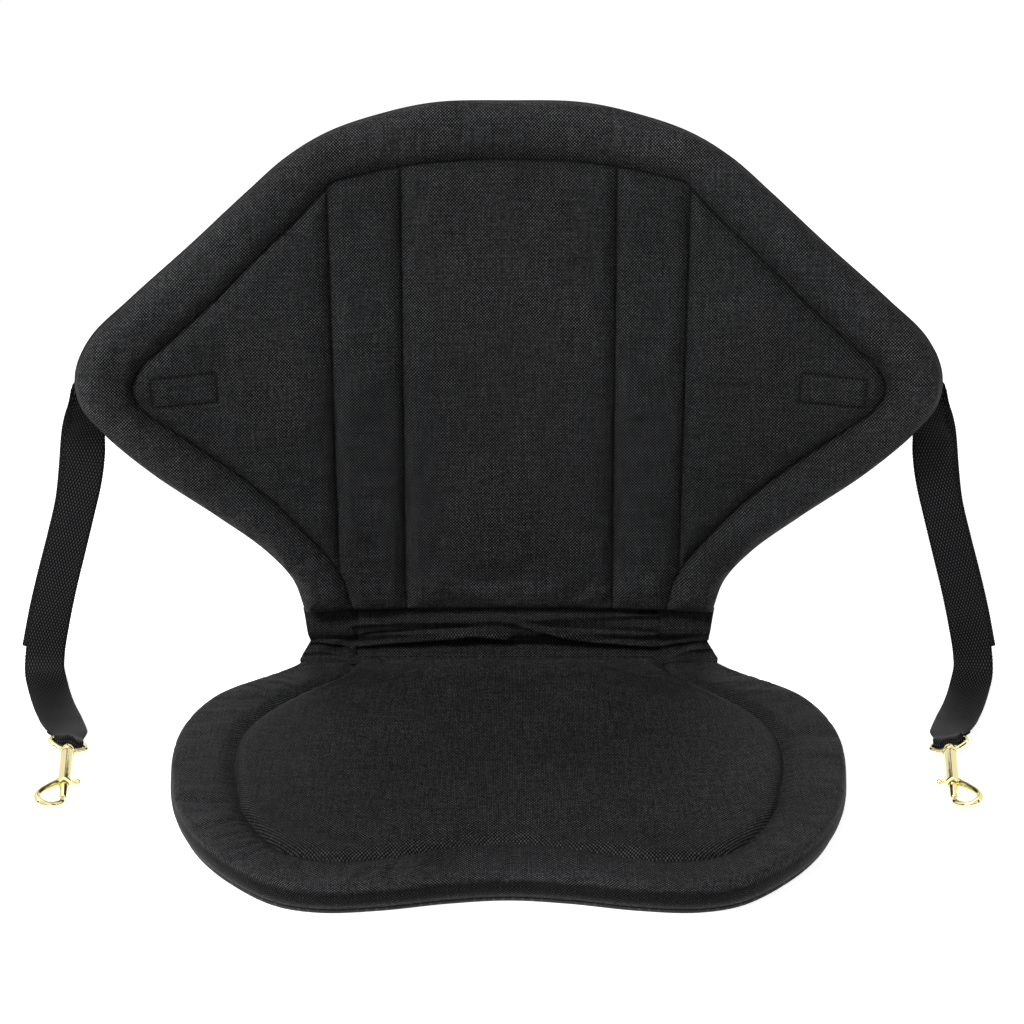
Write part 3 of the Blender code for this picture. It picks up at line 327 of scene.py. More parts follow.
# Stage: lamps as place, aim, size and watts, dark cards as place, aim and size, and the camera
FLOOR_GLOW = 0.85
# The floor's glow for every other ray, which lights the seat from below as painted fill light
FLOOR_GLOW_ON_SEAT = 0.5
FLOOR_SIZE = 12
FLOOR_BELOW = 0.0002
SKY_LEVEL = 0.14
LAMPS = [("key", (-1.0, -0.9, 1.45), (0, 0.1, 0.15), 0.6, 38),
         ("fill", (1.4, -1.0, 1.0), (0, 0.1, 0.15), 1.4, 4),
         ("top", (-0.2, 0.6, 2.0), (0, 0.1, 0.1), 1.4, 7)]
CARDS = [("card_left", (-0.75, -0.55, 0.45), (0, 0, 0), (0.35, 1.0)),
         ("card_right", (0.75, -0.55, 0.45), (0, 0, 0), (0.35, 1.0)),
         ("card_front", (0.0, -1.35, 0.30), (0, 0, 0), (1.6, 0.30))]
CAMERA_PLACE = (0.002, -1.0685, 0.5705)
CAMERA_AIM = (0.002, 0.175, 0.103)
CAMERA_LENS = 73.5
CAMERA_SENSOR = 36


def linear(code):
    """An sRGB hex colour such as 2a2a2c as linear RGBA."""
    parts = [int(code[k:k + 2], 16) / 255 for k in (0, 2, 4)]
    return tuple(c / 12.92 if c <= 0.04045 else ((c + 0.055) / 1.055) ** 2.4 for c in parts) + (1.0,)


def add_node(tree, kind, options=None, inputs=None):
    """A shader node with its own options and its inputs: values, nodes, or (node, output) pairs."""
    made = tree.nodes.new(kind)
    for name, value in (options or {}).items():
        setattr(made, name, value)
    for name, given in (inputs or {}).items():
        source, output = given if isinstance(given, tuple) and len(given) == 2 else (given, 0)
        if isinstance(source, bpy.types.Node):
            tree.links.new(source.outputs[output], made.inputs[name])
        else:
            made.inputs[name].default_value = given
    return made


def new_material(name):
    """An empty node material and its tree."""
    made = bpy.data.materials.new(name)
    made.use_nodes = True
    made.node_tree.nodes.clear()
    return made, made.node_tree


def curve_through(points, count):
    """A centripetal Catmull-Rom curve through the points, read at evenly spaced places."""
    known = np.asarray(points, float)
    ends = np.vstack([2 * known[0] - known[1], known, 2 * known[-1] - known[-2]])
    fine = []
    for a, b, c, d in zip(ends, ends[1:], ends[2:], ends[3:]):
        k = np.cumsum([0] + [math.sqrt(np.linalg.norm(q - p)) for p, q in ((a, b), (b, c), (c, d))])
        t = np.linspace(k[1], k[2], 16, endpoint=False)[:, None]
        low = [((k[i + 1] - t) * p + (t - k[i]) * q) / (k[i + 1] - k[i])
               for i, (p, q) in enumerate(((a, b), (b, c), (c, d)))]
        mid = [((k[i + 2] - t) * low[i] + (t - k[i]) * low[i + 1]) / (k[i + 2] - k[i]) for i in (0, 1)]
        fine.append(((k[2] - t) * mid[0] + (t - k[1]) * mid[1]) / (k[2] - k[1]))
    return evenly(np.vstack(fine + [known[-1:]]), count)


def run_along(line):
    """Distance along a polyline at each of its points."""
    return np.concatenate([[0], np.cumsum(np.linalg.norm(np.diff(line, axis=0), axis=1))])


def read_along(at, run, rows):
    """Rows of numbers that are known along a run, read at other places along it."""
    return np.stack([np.interp(at, run, column) for column in rows.T], axis=1)


def evenly(line, count):
    """A polyline read again at count evenly spaced places."""
    line = np.asarray(line, float)
    run = run_along(line)
    return read_along(np.linspace(0, run[-1], count), run, line)


def spaced(line, spacing):
    """A polyline read again at about that spacing."""
    return evenly(line, max(2, int(round(run_along(line)[-1] / spacing)) + 1))


def mirrored(half):
    """The whole line, in metres, from a right half in millimetres that ends on the middle line."""
    half = np.asarray(half, float) * MM
    return np.vstack([half * (-1, 1), half[-2::-1]])


def on_back(u, v, w):
    """Places on the backrest: turn = u / R, x = (R - w) sin(turn), and R - (R - w) cos(turn) forwards.

    The sheet then leans back by the lean angle about the fold.
    """
    turn = u / WRAP_RADIUS
    forward = WRAP_RADIUS - (WRAP_RADIUS - w) * np.cos(turn)
    x = (WRAP_RADIUS - w) * np.sin(turn)
    y = SEAT_DEPTH / 2 + FOLD_BEHIND_SEAT + v * math.sin(BACK_LEAN) - forward * math.cos(BACK_LEAN)
    z = FOLD_HEIGHT + v * math.cos(BACK_LEAN) + forward * math.sin(BACK_LEAN)
    return np.stack([x, y, z], axis=-1)


def nearest_on(line, points):
    """For each point: distance to a polyline, run along it to the nearest place, and unit way there."""
    a, d = line[:-1], np.diff(line, axis=0)
    size = np.maximum((d * d).sum(1), 1e-18)
    run = run_along(line)[:-1]
    gap, along, way = np.empty(len(points)), np.empty(len(points)), np.empty((len(points), 2))
    for start in range(0, len(points), 3000):
        p = points[start:start + 3000]
        t = np.clip(((p[:, None] - a) * d).sum(2) / size, 0, 1)
        near = a + t[..., None] * d
        reach = np.linalg.norm(near - p[:, None], axis=2)
        k = reach.argmin(1)
        rows = np.arange(len(p))
        stop = start + len(p)
        gap[start:stop] = reach[rows, k]
        along[start:stop] = run[k] + t[rows, k] * np.sqrt(size[k])
        normal = np.stack([d[k, 1], -d[k, 0]], 1) / np.sqrt(size[k])[:, None]
        straight = (near[rows, k] - p) / np.maximum(gap[start:stop], 1e-9)[:, None]
        way[start:stop] = np.where((gap[start:stop] > 1e-5)[:, None], straight, normal)
    return gap, along, way


def inside(loop, points):
    """Which points lie inside a closed loop, by the even-odd rule."""
    a, b = loop, np.roll(loop, -1, axis=0)
    result = np.zeros(len(points), bool)
    for (ax, ay), (bx, by) in zip(a, b):
        if ay != by:
            crosses = ((points[:, 1] < ay) != (points[:, 1] < by))
            result ^= crosses & (points[:, 0] < ax + (points[:, 1] - ay) * (bx - ax) / (by - ay))
    return result


def side_rows(line, offsets, closed):
    """Copies of a line moved sideways by each offset."""
    if closed:
        way = np.roll(line, -1, axis=0) - np.roll(line, 1, axis=0)
    else:
        way = np.gradient(line, axis=0)
    left = np.stack([-way[:, 1], way[:, 0]], axis=1) / np.linalg.norm(way, axis=1)[:, None]
    return [line + left * offset for offset in offsets]


def lay_out(outline, seams):
    """Flat cloth inside a closed anticlockwise outline, as a triangle lattice.

    Rows of points follow the edge and both sides of each seam, and a hexagonal lattice fills the
    rest. Returns the places, the triangles, which points are on the edge, and the closed edge.
    """
    loop = spaced(np.vstack([outline, outline[:1]]), LATTICE)[:-1]
    lines = [spaced(seam, LATTICE) for seam in seams]
    low, high = loop.min(0), loop.max(0)
    rows = np.arange(low[1], high[1], LATTICE * math.sqrt(3) / 2)
    columns = np.arange(low[0], high[0], LATTICE)
    grid = np.stack([(columns[None] + LATTICE / 2 * (np.arange(len(rows))[:, None] % 2)),
                     np.broadcast_to(rows[:, None], (len(rows), len(columns)))], -1).reshape(-1, 2)
    closed_loop = np.vstack([loop, loop[:1]])
    beside = [side * row for row in SEAM_ROWS for side in (-1, 1)]
    loose = [(np.vstack(side_rows(loop, EDGE_ROWS, True)), 0.0)]
    loose += [(np.vstack(side_rows(line, beside, False)), EDGE_ROWS[-1]) for line in lines]
    loose.append((grid, EDGE_ROWS[-1]))
    apart = 0.45 * LATTICE
    kept = [loop, *lines]
    for k, (points, from_edge) in enumerate(loose):
        points = points[inside(loop, points)]
        clear = nearest_on(closed_loop, points)[0] > from_edge + (apart if k else 0)
        in_grid = k == len(loose) - 1
        for j, line in enumerate(lines):
            own_line = not in_grid and j == k - 1
            room = SEAM_ROWS[-1] + apart if in_grid else SEAM_ROWS[0] * 1.5
            clear &= nearest_on(line, points)[0] > (0.0 if own_line else room) - 1e-9
        kept.append(points[clear])
    places = np.vstack(kept)
    edges, start = [(k, (k + 1) % len(loop)) for k in range(len(loop))], len(loop)
    for line in lines:
        edges += [(start + k, start + k + 1) for k in range(len(line) - 1)]
        start += len(line)
    vertices, _, faces, _, _, _ = delaunay_2d_cdt([Vector(p) for p in places], edges, [], 1, 1e-6, False)
    flat = np.array([tuple(v) for v in vertices])
    faces = np.array(faces)
    corners = flat[faces]
    turn = np.cross(corners[:, 1] - corners[:, 0], corners[:, 2] - corners[:, 0])
    faces = np.where((turn > 0)[:, None], faces, faces[:, ::-1])
    faces = faces[(np.abs(turn) > 1e-12) & inside(loop, corners.mean(axis=1))]
    on_edge = nearest_on(closed_loop, flat)[0] < 1e-6
    return flat, faces, on_edge, closed_loop


def add_mesh(name, points, faces, material, maps=None, values=None):
    """A mesh object from arrays, with UV maps and point attributes given for each point."""
    mesh = bpy.data.meshes.new(name)
    if not isinstance(faces, list):
        faces = faces.tolist()
    mesh.from_pydata(np.asarray(points, float).tolist(), [], faces)
    corners = np.empty(len(mesh.loops), np.int64)
    mesh.loops.foreach_get("vertex_index", corners)
    for title, place in (maps or {}).items():
        layer = mesh.uv_layers.new(name=title)
        layer.data.foreach_set("uv", np.asarray(place, np.float32)[corners].ravel())
    for title, amount in (values or {}).items():
        layer = mesh.attributes.new(title, "FLOAT", "POINT")
        layer.data.foreach_set("value", np.asarray(amount, np.float32))
    mesh.shade_smooth()
    mesh.materials.append(material)
    made = bpy.data.objects.new(name, mesh)
    bpy.context.scene.collection.objects.link(made)
    return made


def rounded(t):
    """A quarter round: 0 at 0, 1 from 1 on, upright at its start."""
    return np.sqrt(np.clip(1 - (1 - np.clip(t, 0, 1)) ** 2, 0, 1))


def smooth_step(t):
    """An even ease, 3 t^2 - 2 t^3: 0 up to 0 and 1 from 1 on, level at both ends."""
    t = np.clip(t, 0, 1)
    return t * t * (3 - 2 * t)


def unit(vectors):
    """Vectors of length 1 along the given ones."""
    vectors = np.asarray(vectors, float)
    return vectors / np.linalg.norm(vectors, axis=-1, keepdims=True)


def square_to(vectors, ways):
    """The parts of vectors that are square to unit directions, as unit vectors."""
    return unit(vectors - ways * np.sum(vectors * ways, axis=-1, keepdims=True))


def grid_faces(rows, columns, closed_rows=False, closed_columns=False):
    """Quads of a grid of points stored row by row."""
    i = np.arange(rows if closed_rows else rows - 1)[:, None]
    j = np.arange(columns if closed_columns else columns - 1)[None]
    here, there = i * columns, ((i + 1) % rows) * columns
    after = (j + 1) % columns
    return np.stack([here + j, here + after, there + after, there + j], -1).reshape(-1, 4)


def settings():
    """The sizes and the colours that the sidebar shows."""
    return bpy.context.scene.kayak_seat_sizes, bpy.context.scene.kayak_seat_colours


def skin(rings, closed=False):
    """A skin over rings of points, with a flat cap at each end of an open path."""
    rows, columns = rings.shape[:2]
    faces = grid_faces(rows, columns, closed, True).tolist()
    if not closed:
        faces += [list(range(columns)), [(rows - 1) * columns + k for k in range(columns)][::-1]]
    return rings.reshape(-1, 3), faces


def joined(parts):
    """One list of points and faces from several."""
    points, faces, start = [], [], 0
    for places, around in parts:
        points.append(places)
        faces += [[k + start for k in face] for face in around]
        start += len(places)
    return np.vstack(points), faces


def outward_faces(points, faces):
    """The faces of one closed shell, turned round if its signed volume is negative."""
    corners = np.array([points[face[:3]] for face in faces])
    fan = np.array([points[face[-1]] for face in faces])
    volume = np.einsum("ij,ij->i", corners[:, 0], np.cross(corners[:, 1], corners[:, 2])).sum()
    volume += np.einsum("ij,ij->i", corners[:, 0], np.cross(corners[:, 2], fan)).sum()
    return faces if volume > 0 else [list(face)[::-1] for face in faces]


def add_shells(name, parts, material, maps=None, values=None):
    """One object from closed shells, each with its faces outwards and its sharp edges kept."""
    shells = [(points, outward_faces(points, faces)) for points, faces in parts]
    made = add_mesh(name, *joined(shells), material, maps, values)
    made.data.set_sharp_from_angle(angle=math.radians(38))
    return made


def belongs(piece, body, slot, *nodes):
    """Rides the piece on a body and hides the CAD nodes that it stands for; slot is not used."""
    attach(piece, body)
    if nodes:
        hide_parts(*nodes)
    return piece


def walled(filled, outer, inner, wraps):
    """A wall over a grid of cells, some of them open: two skins, and every open edge closed between them."""
    columns = filled.shape[1]
    wide = outer.shape[1]
    under = outer.shape[0] * wide

    def at(i, j):
        return i * wide + (j % columns if wraps else j)

    i, j = np.nonzero(filled)
    corners = ((0, 0), (1, 0), (1, 1), (0, 1))
    top = np.stack([at(i + a, j + b) for a, b in corners], axis=1)
    faces = [top, top[:, ::-1] + under]
    padded = np.pad(filled, 1)
    if wraps:
        padded[1:-1, 0], padded[1:-1, -1] = filled[:, -1], filled[:, 0]
    for (di, dj), (p, q) in (((0, -1), (0, 1)), ((1, 0), (1, 2)), ((0, 1), (2, 3)), ((-1, 0), (3, 0))):
        bare = ~padded[i + 1 + di, j + 1 + dj]
        a, b = top[bare, p], top[bare, q]
        faces.append(np.stack([b, a, a + under, b + under], axis=1))
    faces = np.vstack(faces)
    used, places = np.unique(faces, return_inverse=True)
    return np.vstack([outer.reshape(-1, 3), inner.reshape(-1, 3)])[used], places.reshape(-1, 4).tolist()


def back_lines():
    """The backrest's closed outline and its stitch lines: the ring and four channel lines."""
    outline = curve_through(mirrored(BACK_OUTLINE), 700)[::-1]
    ring = curve_through(mirrored(BACK_RING), 700)
    seams = [ring]
    for side in (-1, 1):
        for channel, top, foot in ((CHANNEL_INNER, CHANNEL_INNER_TOP, None),
                                   (CHANNEL_OUTER, CHANNEL_OUTER_TOP, CHANNEL_OUTER_FOOT)):
            head = ring[np.argmin(np.linalg.norm(ring - (side * channel, top), axis=1))]
            start = np.array([side * channel, BACK_FOOT])
            if foot:
                start = ring[np.argmin(np.linalg.norm(ring - (side * channel, foot), axis=1))]
            seams.append(np.array([start, head]))
    return outline, seams


def box_lines():
    """The closed rows of stitches that hold the anchor straps, right and left."""
    box = np.array(BOX_STITCH + BOX_STITCH[:1], float) * MM
    return [box, box * (-1, 1)]


def gathers(run, gap, shift=0.0):
    """Small waves of cloth drawn in by a row of stitches.

    wave = sin(turn + 1.7 sin(0.37 turn + shift) + 0.9 sin(1.31 turn)), turn = 2 pi run / pitch + shift,
    times (gap / reach) exp(1 - gap / reach): none at the stitches, most one reach away. A slower
    pair of waves along the run makes the gathers stronger in some places than in others.
    """
    turn = 2 * math.pi * run / GATHER_PITCH + shift
    wave = np.sin(turn + 1.7 * np.sin(0.37 * turn + shift) + 0.9 * np.sin(1.31 * turn))
    broad, fine = GATHER_PATCHES
    patchy = 0.55 + 0.45 * np.sin(run / broad + 2.0 * shift + 1.4 * np.sin(run / fine))
    near = gap / GATHER_REACH
    return wave * patchy * near * np.exp(1 - near)


def creases(flat, lines):
    """Depth of the cloth's separate folds: the sum of depth exp(-(gap / width)^2) over the listed lines."""
    depth = np.zeros(len(flat))
    for width, deep, points in lines:
        gap = nearest_on(curve_through(np.array(points, float) * MM, 24), flat)[0]
        depth += deep * MM * np.exp(-(gap / (width * MM)) ** 2)
    return depth


def sloped(t):
    """A soft pad's slope, 1 - (1 - t)^2.4: 0 at 0 and 1 from 1 on."""
    return 1 - (1 - np.clip(t, 0, 1)) ** 2.4


def back_face(flat, loop, seams):
    """Height of the quilted face over the flat cloth, distances to its edge and seams, and its thread map.

    height = side + (crown - side) q(edge) (low + (1 - low) p(seam)), where q is a quarter round of
    the distance over its radius, p(t) = 1 - (1 - t)^2.4 is a soft pad's slope and low is the share
    of the crown left at a seam. Gathers and a shallow valley along the box stitches are added.
    """
    sizes, _ = settings()
    from_edge, _, way = nearest_on(loop, flat)
    gaps = [nearest_on(seam, flat) for seam in seams]
    from_seam = np.min([g[0] for g in gaps], axis=0)
    along = np.choose(np.argmin([g[0] for g in gaps], axis=0), [g[1] for g in gaps])
    ring = np.vstack([seams[0], seams[0][:1]])
    within = inside(ring, flat)
    crown = np.where(within, BACK_PAD_TOP, BACK_THICKNESS)
    at_foot = smooth_step((FOOT_TOP - flat[:, 1]) / FOOT_TOP_BLEND)
    at_foot = at_foot * smooth_step((FOOT_HALF - np.abs(flat[:, 0])) / FOOT_HALF_BLEND)
    side = BACK_SIDE + (FOOT_SIDE - BACK_SIDE) * at_foot
    low = (BACK_SEAM - side) / (crown - side)
    rise = rounded(from_edge / BACK_EDGE_ROUND) * (low + (1 - low) * sloped(from_seam / BACK_SEAM_ROUND))
    reach = np.clip(1 - from_edge / BACK_EDGE_ROUND, 0, 1)
    cloth = flat + way * (BACK_EDGE_ROUND * (np.arcsin(reach) - reach))[:, None]
    from_box = np.min([nearest_on(line, flat)[0] for line in box_lines()], axis=0)
    height = side + (crown - side) * rise
    shift = np.where(within, 0.0, 2.1) + np.where(flat[:, 0] > 0, 0.0, 1.3)
    height += sizes.gather_depth * gathers(along, from_seam, shift) * rounded(from_edge / CLEAR_OF_EDGE)
    height -= BOX_STITCH_DEPTH * np.exp(-(from_box / BOX_STITCH_WIDTH) ** 2)
    height -= creases(flat, BACK_CREASES)
    return height, side, from_edge, from_seam, from_box, cloth


def swollen(points, faces, held, share):
    """Cloth filled from behind while its edge and stitches hold.

    Blender's Cloth runs from frame 1 on with a pressure, a little slack and no gravity. Each
    point then moves by its shift, shortened as shift * min(1, limit / |shift|), where the limit is
    the piece's share of the sidebar's swelling.
    """
    sizes, _ = settings()
    scene = bpy.context.scene
    mesh = bpy.data.meshes.new("cloth_at_work")
    mesh.from_pydata(points.tolist(), [], faces.tolist())
    work = bpy.data.objects.new("cloth_at_work", mesh)
    scene.collection.objects.link(work)
    group = work.vertex_groups.new(name="held")
    group.add(np.flatnonzero(held).tolist(), 1.0, "REPLACE")
    cloth = work.modifiers.new("cloth", "CLOTH")
    cloth.settings.quality = 4
    cloth.settings.use_pressure = True
    cloth.settings.uniform_pressure_force = CLOTH_PRESSURE
    cloth.settings.effector_weights.gravity = 0.0
    cloth.settings.vertex_group_mass = "held"
    cloth.settings.shrink_min = -sizes.slack
    cloth.point_cache.frame_start, cloth.point_cache.frame_end = 1, CLOTH_FRAMES
    for frame in range(1, CLOTH_FRAMES + 1):
        scene.frame_set(frame)
    shape = work.evaluated_get(bpy.context.evaluated_depsgraph_get()).to_mesh()
    found = np.empty(len(points) * 3)
    shape.vertices.foreach_get("co", found)
    bpy.data.objects.remove(work, do_unlink=True)
    bpy.data.meshes.remove(mesh)
    scene.frame_set(1)
    shift = found.reshape(-1, 3) - points
    size = np.linalg.norm(shift, axis=1)
    return points + shift * np.minimum(1, share * sizes.swell_limit / np.maximum(size, 1e-9))[:, None]


def add_cover(name, faces, on_edge, front, rear, cloth, values, material):
    """A closed cover from two faces over one flat lattice that share its edge points."""
    count = len(front)
    inner = np.flatnonzero(~on_edge)
    rear_index = np.arange(count)
    rear_index[inner] = count + np.arange(len(inner))
    points = np.vstack([front, rear[inner]])
    all_faces = np.vstack([faces, rear_index[faces][:, ::-1]])
    values = {key: np.concatenate([value, value[inner]]) for key, value in values.items()}
    return add_mesh(name, points, all_faces, material, {"cloth": np.vstack([cloth, cloth[inner]])}, values)


def make_back():
    """The quilted backrest: its padded face from back_face(), its flat rear drawn in by the stitches."""
    outline, seams = back_lines()
    flat, faces, on_edge, loop = lay_out(outline, seams + box_lines())
    height, side, from_edge, from_seam, from_box, cloth = back_face(flat, loop, seams)
    held = on_edge | (from_seam < HELD_AT_SEAM) | (from_box < HELD_AT_BOX) | (from_edge < HELD_AT_EDGE)
    front = swollen(on_back(flat[:, 0], flat[:, 1], height), faces, held, 1.0)
    seam_gap = np.minimum(from_seam, from_box)
    tuck = REAR_TUCK * np.exp(-(seam_gap / REAR_TUCK_WIDTH) ** 2)
    behind = side * (1 - rounded(from_edge / BACK_REAR_ROUND)) + tuck * ~on_edge
    rear = on_back(flat[:, 0], flat[:, 1], behind)
    # seam_gap and edge_gap drive the cloth's painted shade in the stitched valleys and along the edge seam,
    # and its painted highlight towards the edge
    piece = add_cover("back_cover", faces, on_edge, front, rear, cloth,
                      {"seam_gap": seam_gap, "edge_gap": from_edge}, cloth_material("back"))
    return belongs(piece, "seat", "back_cloth", "back_rim", "back_center_pad", "back_channel_pad_left",
                   "back_channel_pad_right", "back_wing_pad_left", "back_wing_pad_right", "back_board")


def seat_lines():
    """The seat's closed outline, run anticlockwise, and its groove."""
    outline = curve_through(mirrored(SEAT_OUTLINE), 700)
    turned_round = np.sum(np.cross(outline, np.roll(outline, -1, axis=0))) < 0
    return outline[::-1] if turned_round else outline, curve_through(mirrored(SEAT_GROOVE), 700)


def seat_face(flat, loop, groove):
    """Height of the seat's top over the flat cloth, as back_face() with one groove, and its thread map."""
    sizes, _ = settings()
    from_edge, _, way = nearest_on(loop, flat)
    from_seam, along, _ = nearest_on(groove, flat)
    within = inside(np.vstack([groove, groove[:1]]), flat)
    low = (SEAT_GROOVE_TOP - SEAT_SIDE) / (SEAT_THICKNESS - SEAT_SIDE)
    slope = sloped(from_seam / np.where(within, SEAT_PAD_ROUND, SEAT_GROOVE_ROUND))
    rise = rounded(from_edge / SEAT_EDGE_ROUND) * (low + (1 - low) * slope)
    rise *= 1 - REAR_FLATTER * smooth_step((flat[:, 1] - REAR_FLATTER_FROM) / REAR_FLATTER_RUN) * ~within
    reach = np.clip(1 - from_edge / SEAT_EDGE_ROUND, 0, 1)
    cloth = flat + way * (SEAT_EDGE_ROUND * (SEAT_MAP_STRETCH * np.arcsin(reach) - reach))[:, None]
    height = SEAT_SIDE + (SEAT_THICKNESS - SEAT_SIDE) * rise
    front_left = smooth_step((SEAT_GATHERS_FROM - flat) / SEAT_GATHERS_BLEND).prod(axis=1)
    drawn_in = (SEAT_GATHERS + SEAT_GATHERS_LEFT * front_left) * ~within * rounded(from_edge / CLEAR_OF_EDGE)
    height += drawn_in * sizes.gather_depth * gathers(1.1 * along, from_seam * 0.6, 0.4)
    height -= creases(flat, SEAT_CREASES) * rounded(from_edge / CREASE_CLEAR_OF_EDGE)
    return height, from_edge, from_seam, cloth


def make_seat():
    """The seat pad: a stuffed rim round a moulded middle, with a side wall that tucks under."""
    outline, groove = seat_lines()
    flat, faces, on_edge, loop = lay_out(outline, [groove])
    height, from_edge, from_seam, cloth = seat_face(flat, loop, groove)
    held = on_edge | (from_seam < HELD_AT_GROOVE) | (from_edge < HELD_AT_EDGE)
    top = swollen(np.column_stack([flat, height]), faces, held, SEAT_SWELL_SHARE)
    under = SEAT_BOTTOM + (SEAT_SIDE - SEAT_BOTTOM) * (1 - rounded(from_edge / SEAT_TUCK))
    bottom = np.column_stack([flat, under])
    # The distances drive the cloth's painted shade in the groove and along the edge seam, and its painted
    # highlight towards the edge; the added offset makes the groove's painted shade lighter
    piece = add_cover("seat_cover", faces, on_edge, top, bottom, cloth,
                      {"seam_gap": from_seam + GROOVE_LIGHTER_SHADE, "edge_gap": from_edge}, cloth_material("seat"))
    return belongs(piece, "seat", "seat_cloth", "seat_rim", "seat_center_pad")


def make_underside():
    """The non-slip panel under the seat: the seat's outline set in, its edge a half round of the hem."""
    outline, _ = seat_lines()
    line = spaced(np.vstack([outline, outline[:1]]), SEAT_BASE_STEP)[:-1]
    radius = SEAT_BASE_THICKNESS / 2
    rings = []
    for a in np.linspace(-math.pi / 2, math.pi / 2, 7):
        moved = side_rows(line, [SEAT_BASE_MARGIN + radius * (1 - math.cos(a))], True)[0]
        rings.append(np.column_stack([moved, np.full(len(moved), radius * (1 + math.sin(a)))]))
    piece = add_shells("seat_underside", [skin(np.array(rings))], underside_material())
    return belongs(piece, "seat", "underside_cloth", "seat_base")


def web_surface(x, s):
    """Place and outward way of the cloth web at x across and at share s of its section.

    The section curve is moved along its own normal by the sum of height exp(-(gap / width)^2) over
    the folds, each a line in (x, run), and by small crumples, products of two sines, that are
    stronger at the lower corners. Both fade out at the two sewn ends.
    """
    start = np.array([SEAT_DEPTH / 2 + WEB_BEHIND_SEAT, SEAT_THICKNESS * WEB_START_SHARE])
    end = on_back(0.0, BACK_FOOT, WEB_INSIDE_BACK)[1:] - (0, WEB_BELOW_FOOT)
    line = curve_through(start + np.array(WEB_SECTION) * (end - start), 240)
    share = np.linspace(0, 1, 240)
    slope = np.gradient(line, axis=0)
    out = np.stack([-slope[:, 1], slope[:, 0]], axis=1) / np.linalg.norm(slope, axis=1)[:, None]
    y, z, oy, oz = (np.interp(s, share, values) for values in (*line.T, *out.T))
    flat = np.stack([x, s * WEB_LENGTH], axis=-1)
    lift = np.zeros(x.shape)
    for height, width, points in WEB_FOLDS:
        fold = curve_through(np.array(points, float) * (MM, WEB_LENGTH), 60)
        gap = nearest_on(fold, flat.reshape(-1, 2))[0].reshape(x.shape)
        lift += height * MM * np.exp(-(gap / (width * MM)) ** 2)
    crumple = np.sin(x / 0.0061 + 9 * s) * np.sin(11 * s + x / 0.017) + np.sin(x / 0.0038 - 14 * s) * 0.5
    at_corners = smooth_step((np.abs(x) - 0.096) / 0.006) * (s < 0.5)
    lift += CRUMPLE * crumple * (1 + CRUMPLE_OUTSIDE * at_corners)
    lift *= np.clip(np.minimum(s, 1 - s) / SEWN_FLAT, 0, 1)
    return np.stack([x, y + oy * lift, z + oz * lift], -1), np.stack([0 * x, oy, oz], -1)


def make_web():
    """The unpadded cloth that joins seat and backrest: a closed strip over web_surface()."""
    share, s = np.meshgrid(np.linspace(-1, 1, 190), np.linspace(0, 1, 60))
    x = share * np.interp(s, *np.array(WEB_HALVES).T)
    front, out = web_surface(x, s)
    rear = front - out * WEB_THICKNESS
    rings = np.concatenate([front, rear[:, ::-1]], axis=1)
    flat = np.stack([x, s * WEB_LENGTH + WEB_MAP_SHIFT], -1)
    maps = np.concatenate([flat, flat[:, ::-1]], axis=1).reshape(-1, 2)
    # Far from every seam and edge, so the web gets none of the cloth's painted shade or highlight
    gaps = {"seam_gap": np.ones(len(maps)), "edge_gap": np.ones(len(maps))}
    piece = add_shells("web_cloth", [skin(rings)], cloth_material("web"), {"cloth": maps}, gaps)
    return belongs(piece, "seat", "back_cloth", "hinge_web")


def slide_bar(side, from_tip):
    """The middle of one of the slide's bars behind the wing tip, and the bar's direction."""
    u = side * (BACK_WIDTH / 2 - from_tip)
    middle = on_back(u, LOCK_HEIGHT_ON_WING, -LOCK_BEHIND_WING)
    return middle, unit(on_back(u, LOCK_HEIGHT_ON_WING + 0.01, -LOCK_BEHIND_WING) - middle)


def route(stations, side):
    """A listed route on the side -1 or 1: its places in metres and its width directions."""
    places, ways = (np.array(column) * (side, 1, 1) for column in zip(*stations))
    return places * MM, unit(ways)


def hook_frame(side):
    """Origin at the eye's bar, and the hook's own directions as rows: along it, along the bar, and square."""
    places, ways = route(STRAP_ROUTE[:2], side)
    bar = square_to(ways[0], unit(places[1] - places[0]))
    axis = square_to(np.array(HOOK_HEADING) * (side, 1, 1), bar)
    return places[0], np.array([axis, bar, np.cross(axis, bar)])


def half_turn(centre, start, towards, radius):
    """Half a turn round a bar: from the start direction, over towards, to the far side."""
    a = np.linspace(0, math.pi, HALF_TURN_POINTS + 2)[1:-1, None]
    return centre + radius * (np.cos(a) * start + np.sin(a) * towards)


def nearest_index(line, places):
    """For each place, the index of the line's nearest point."""
    return [int(np.argmin(np.linalg.norm(line - p, axis=1))) for p in places]


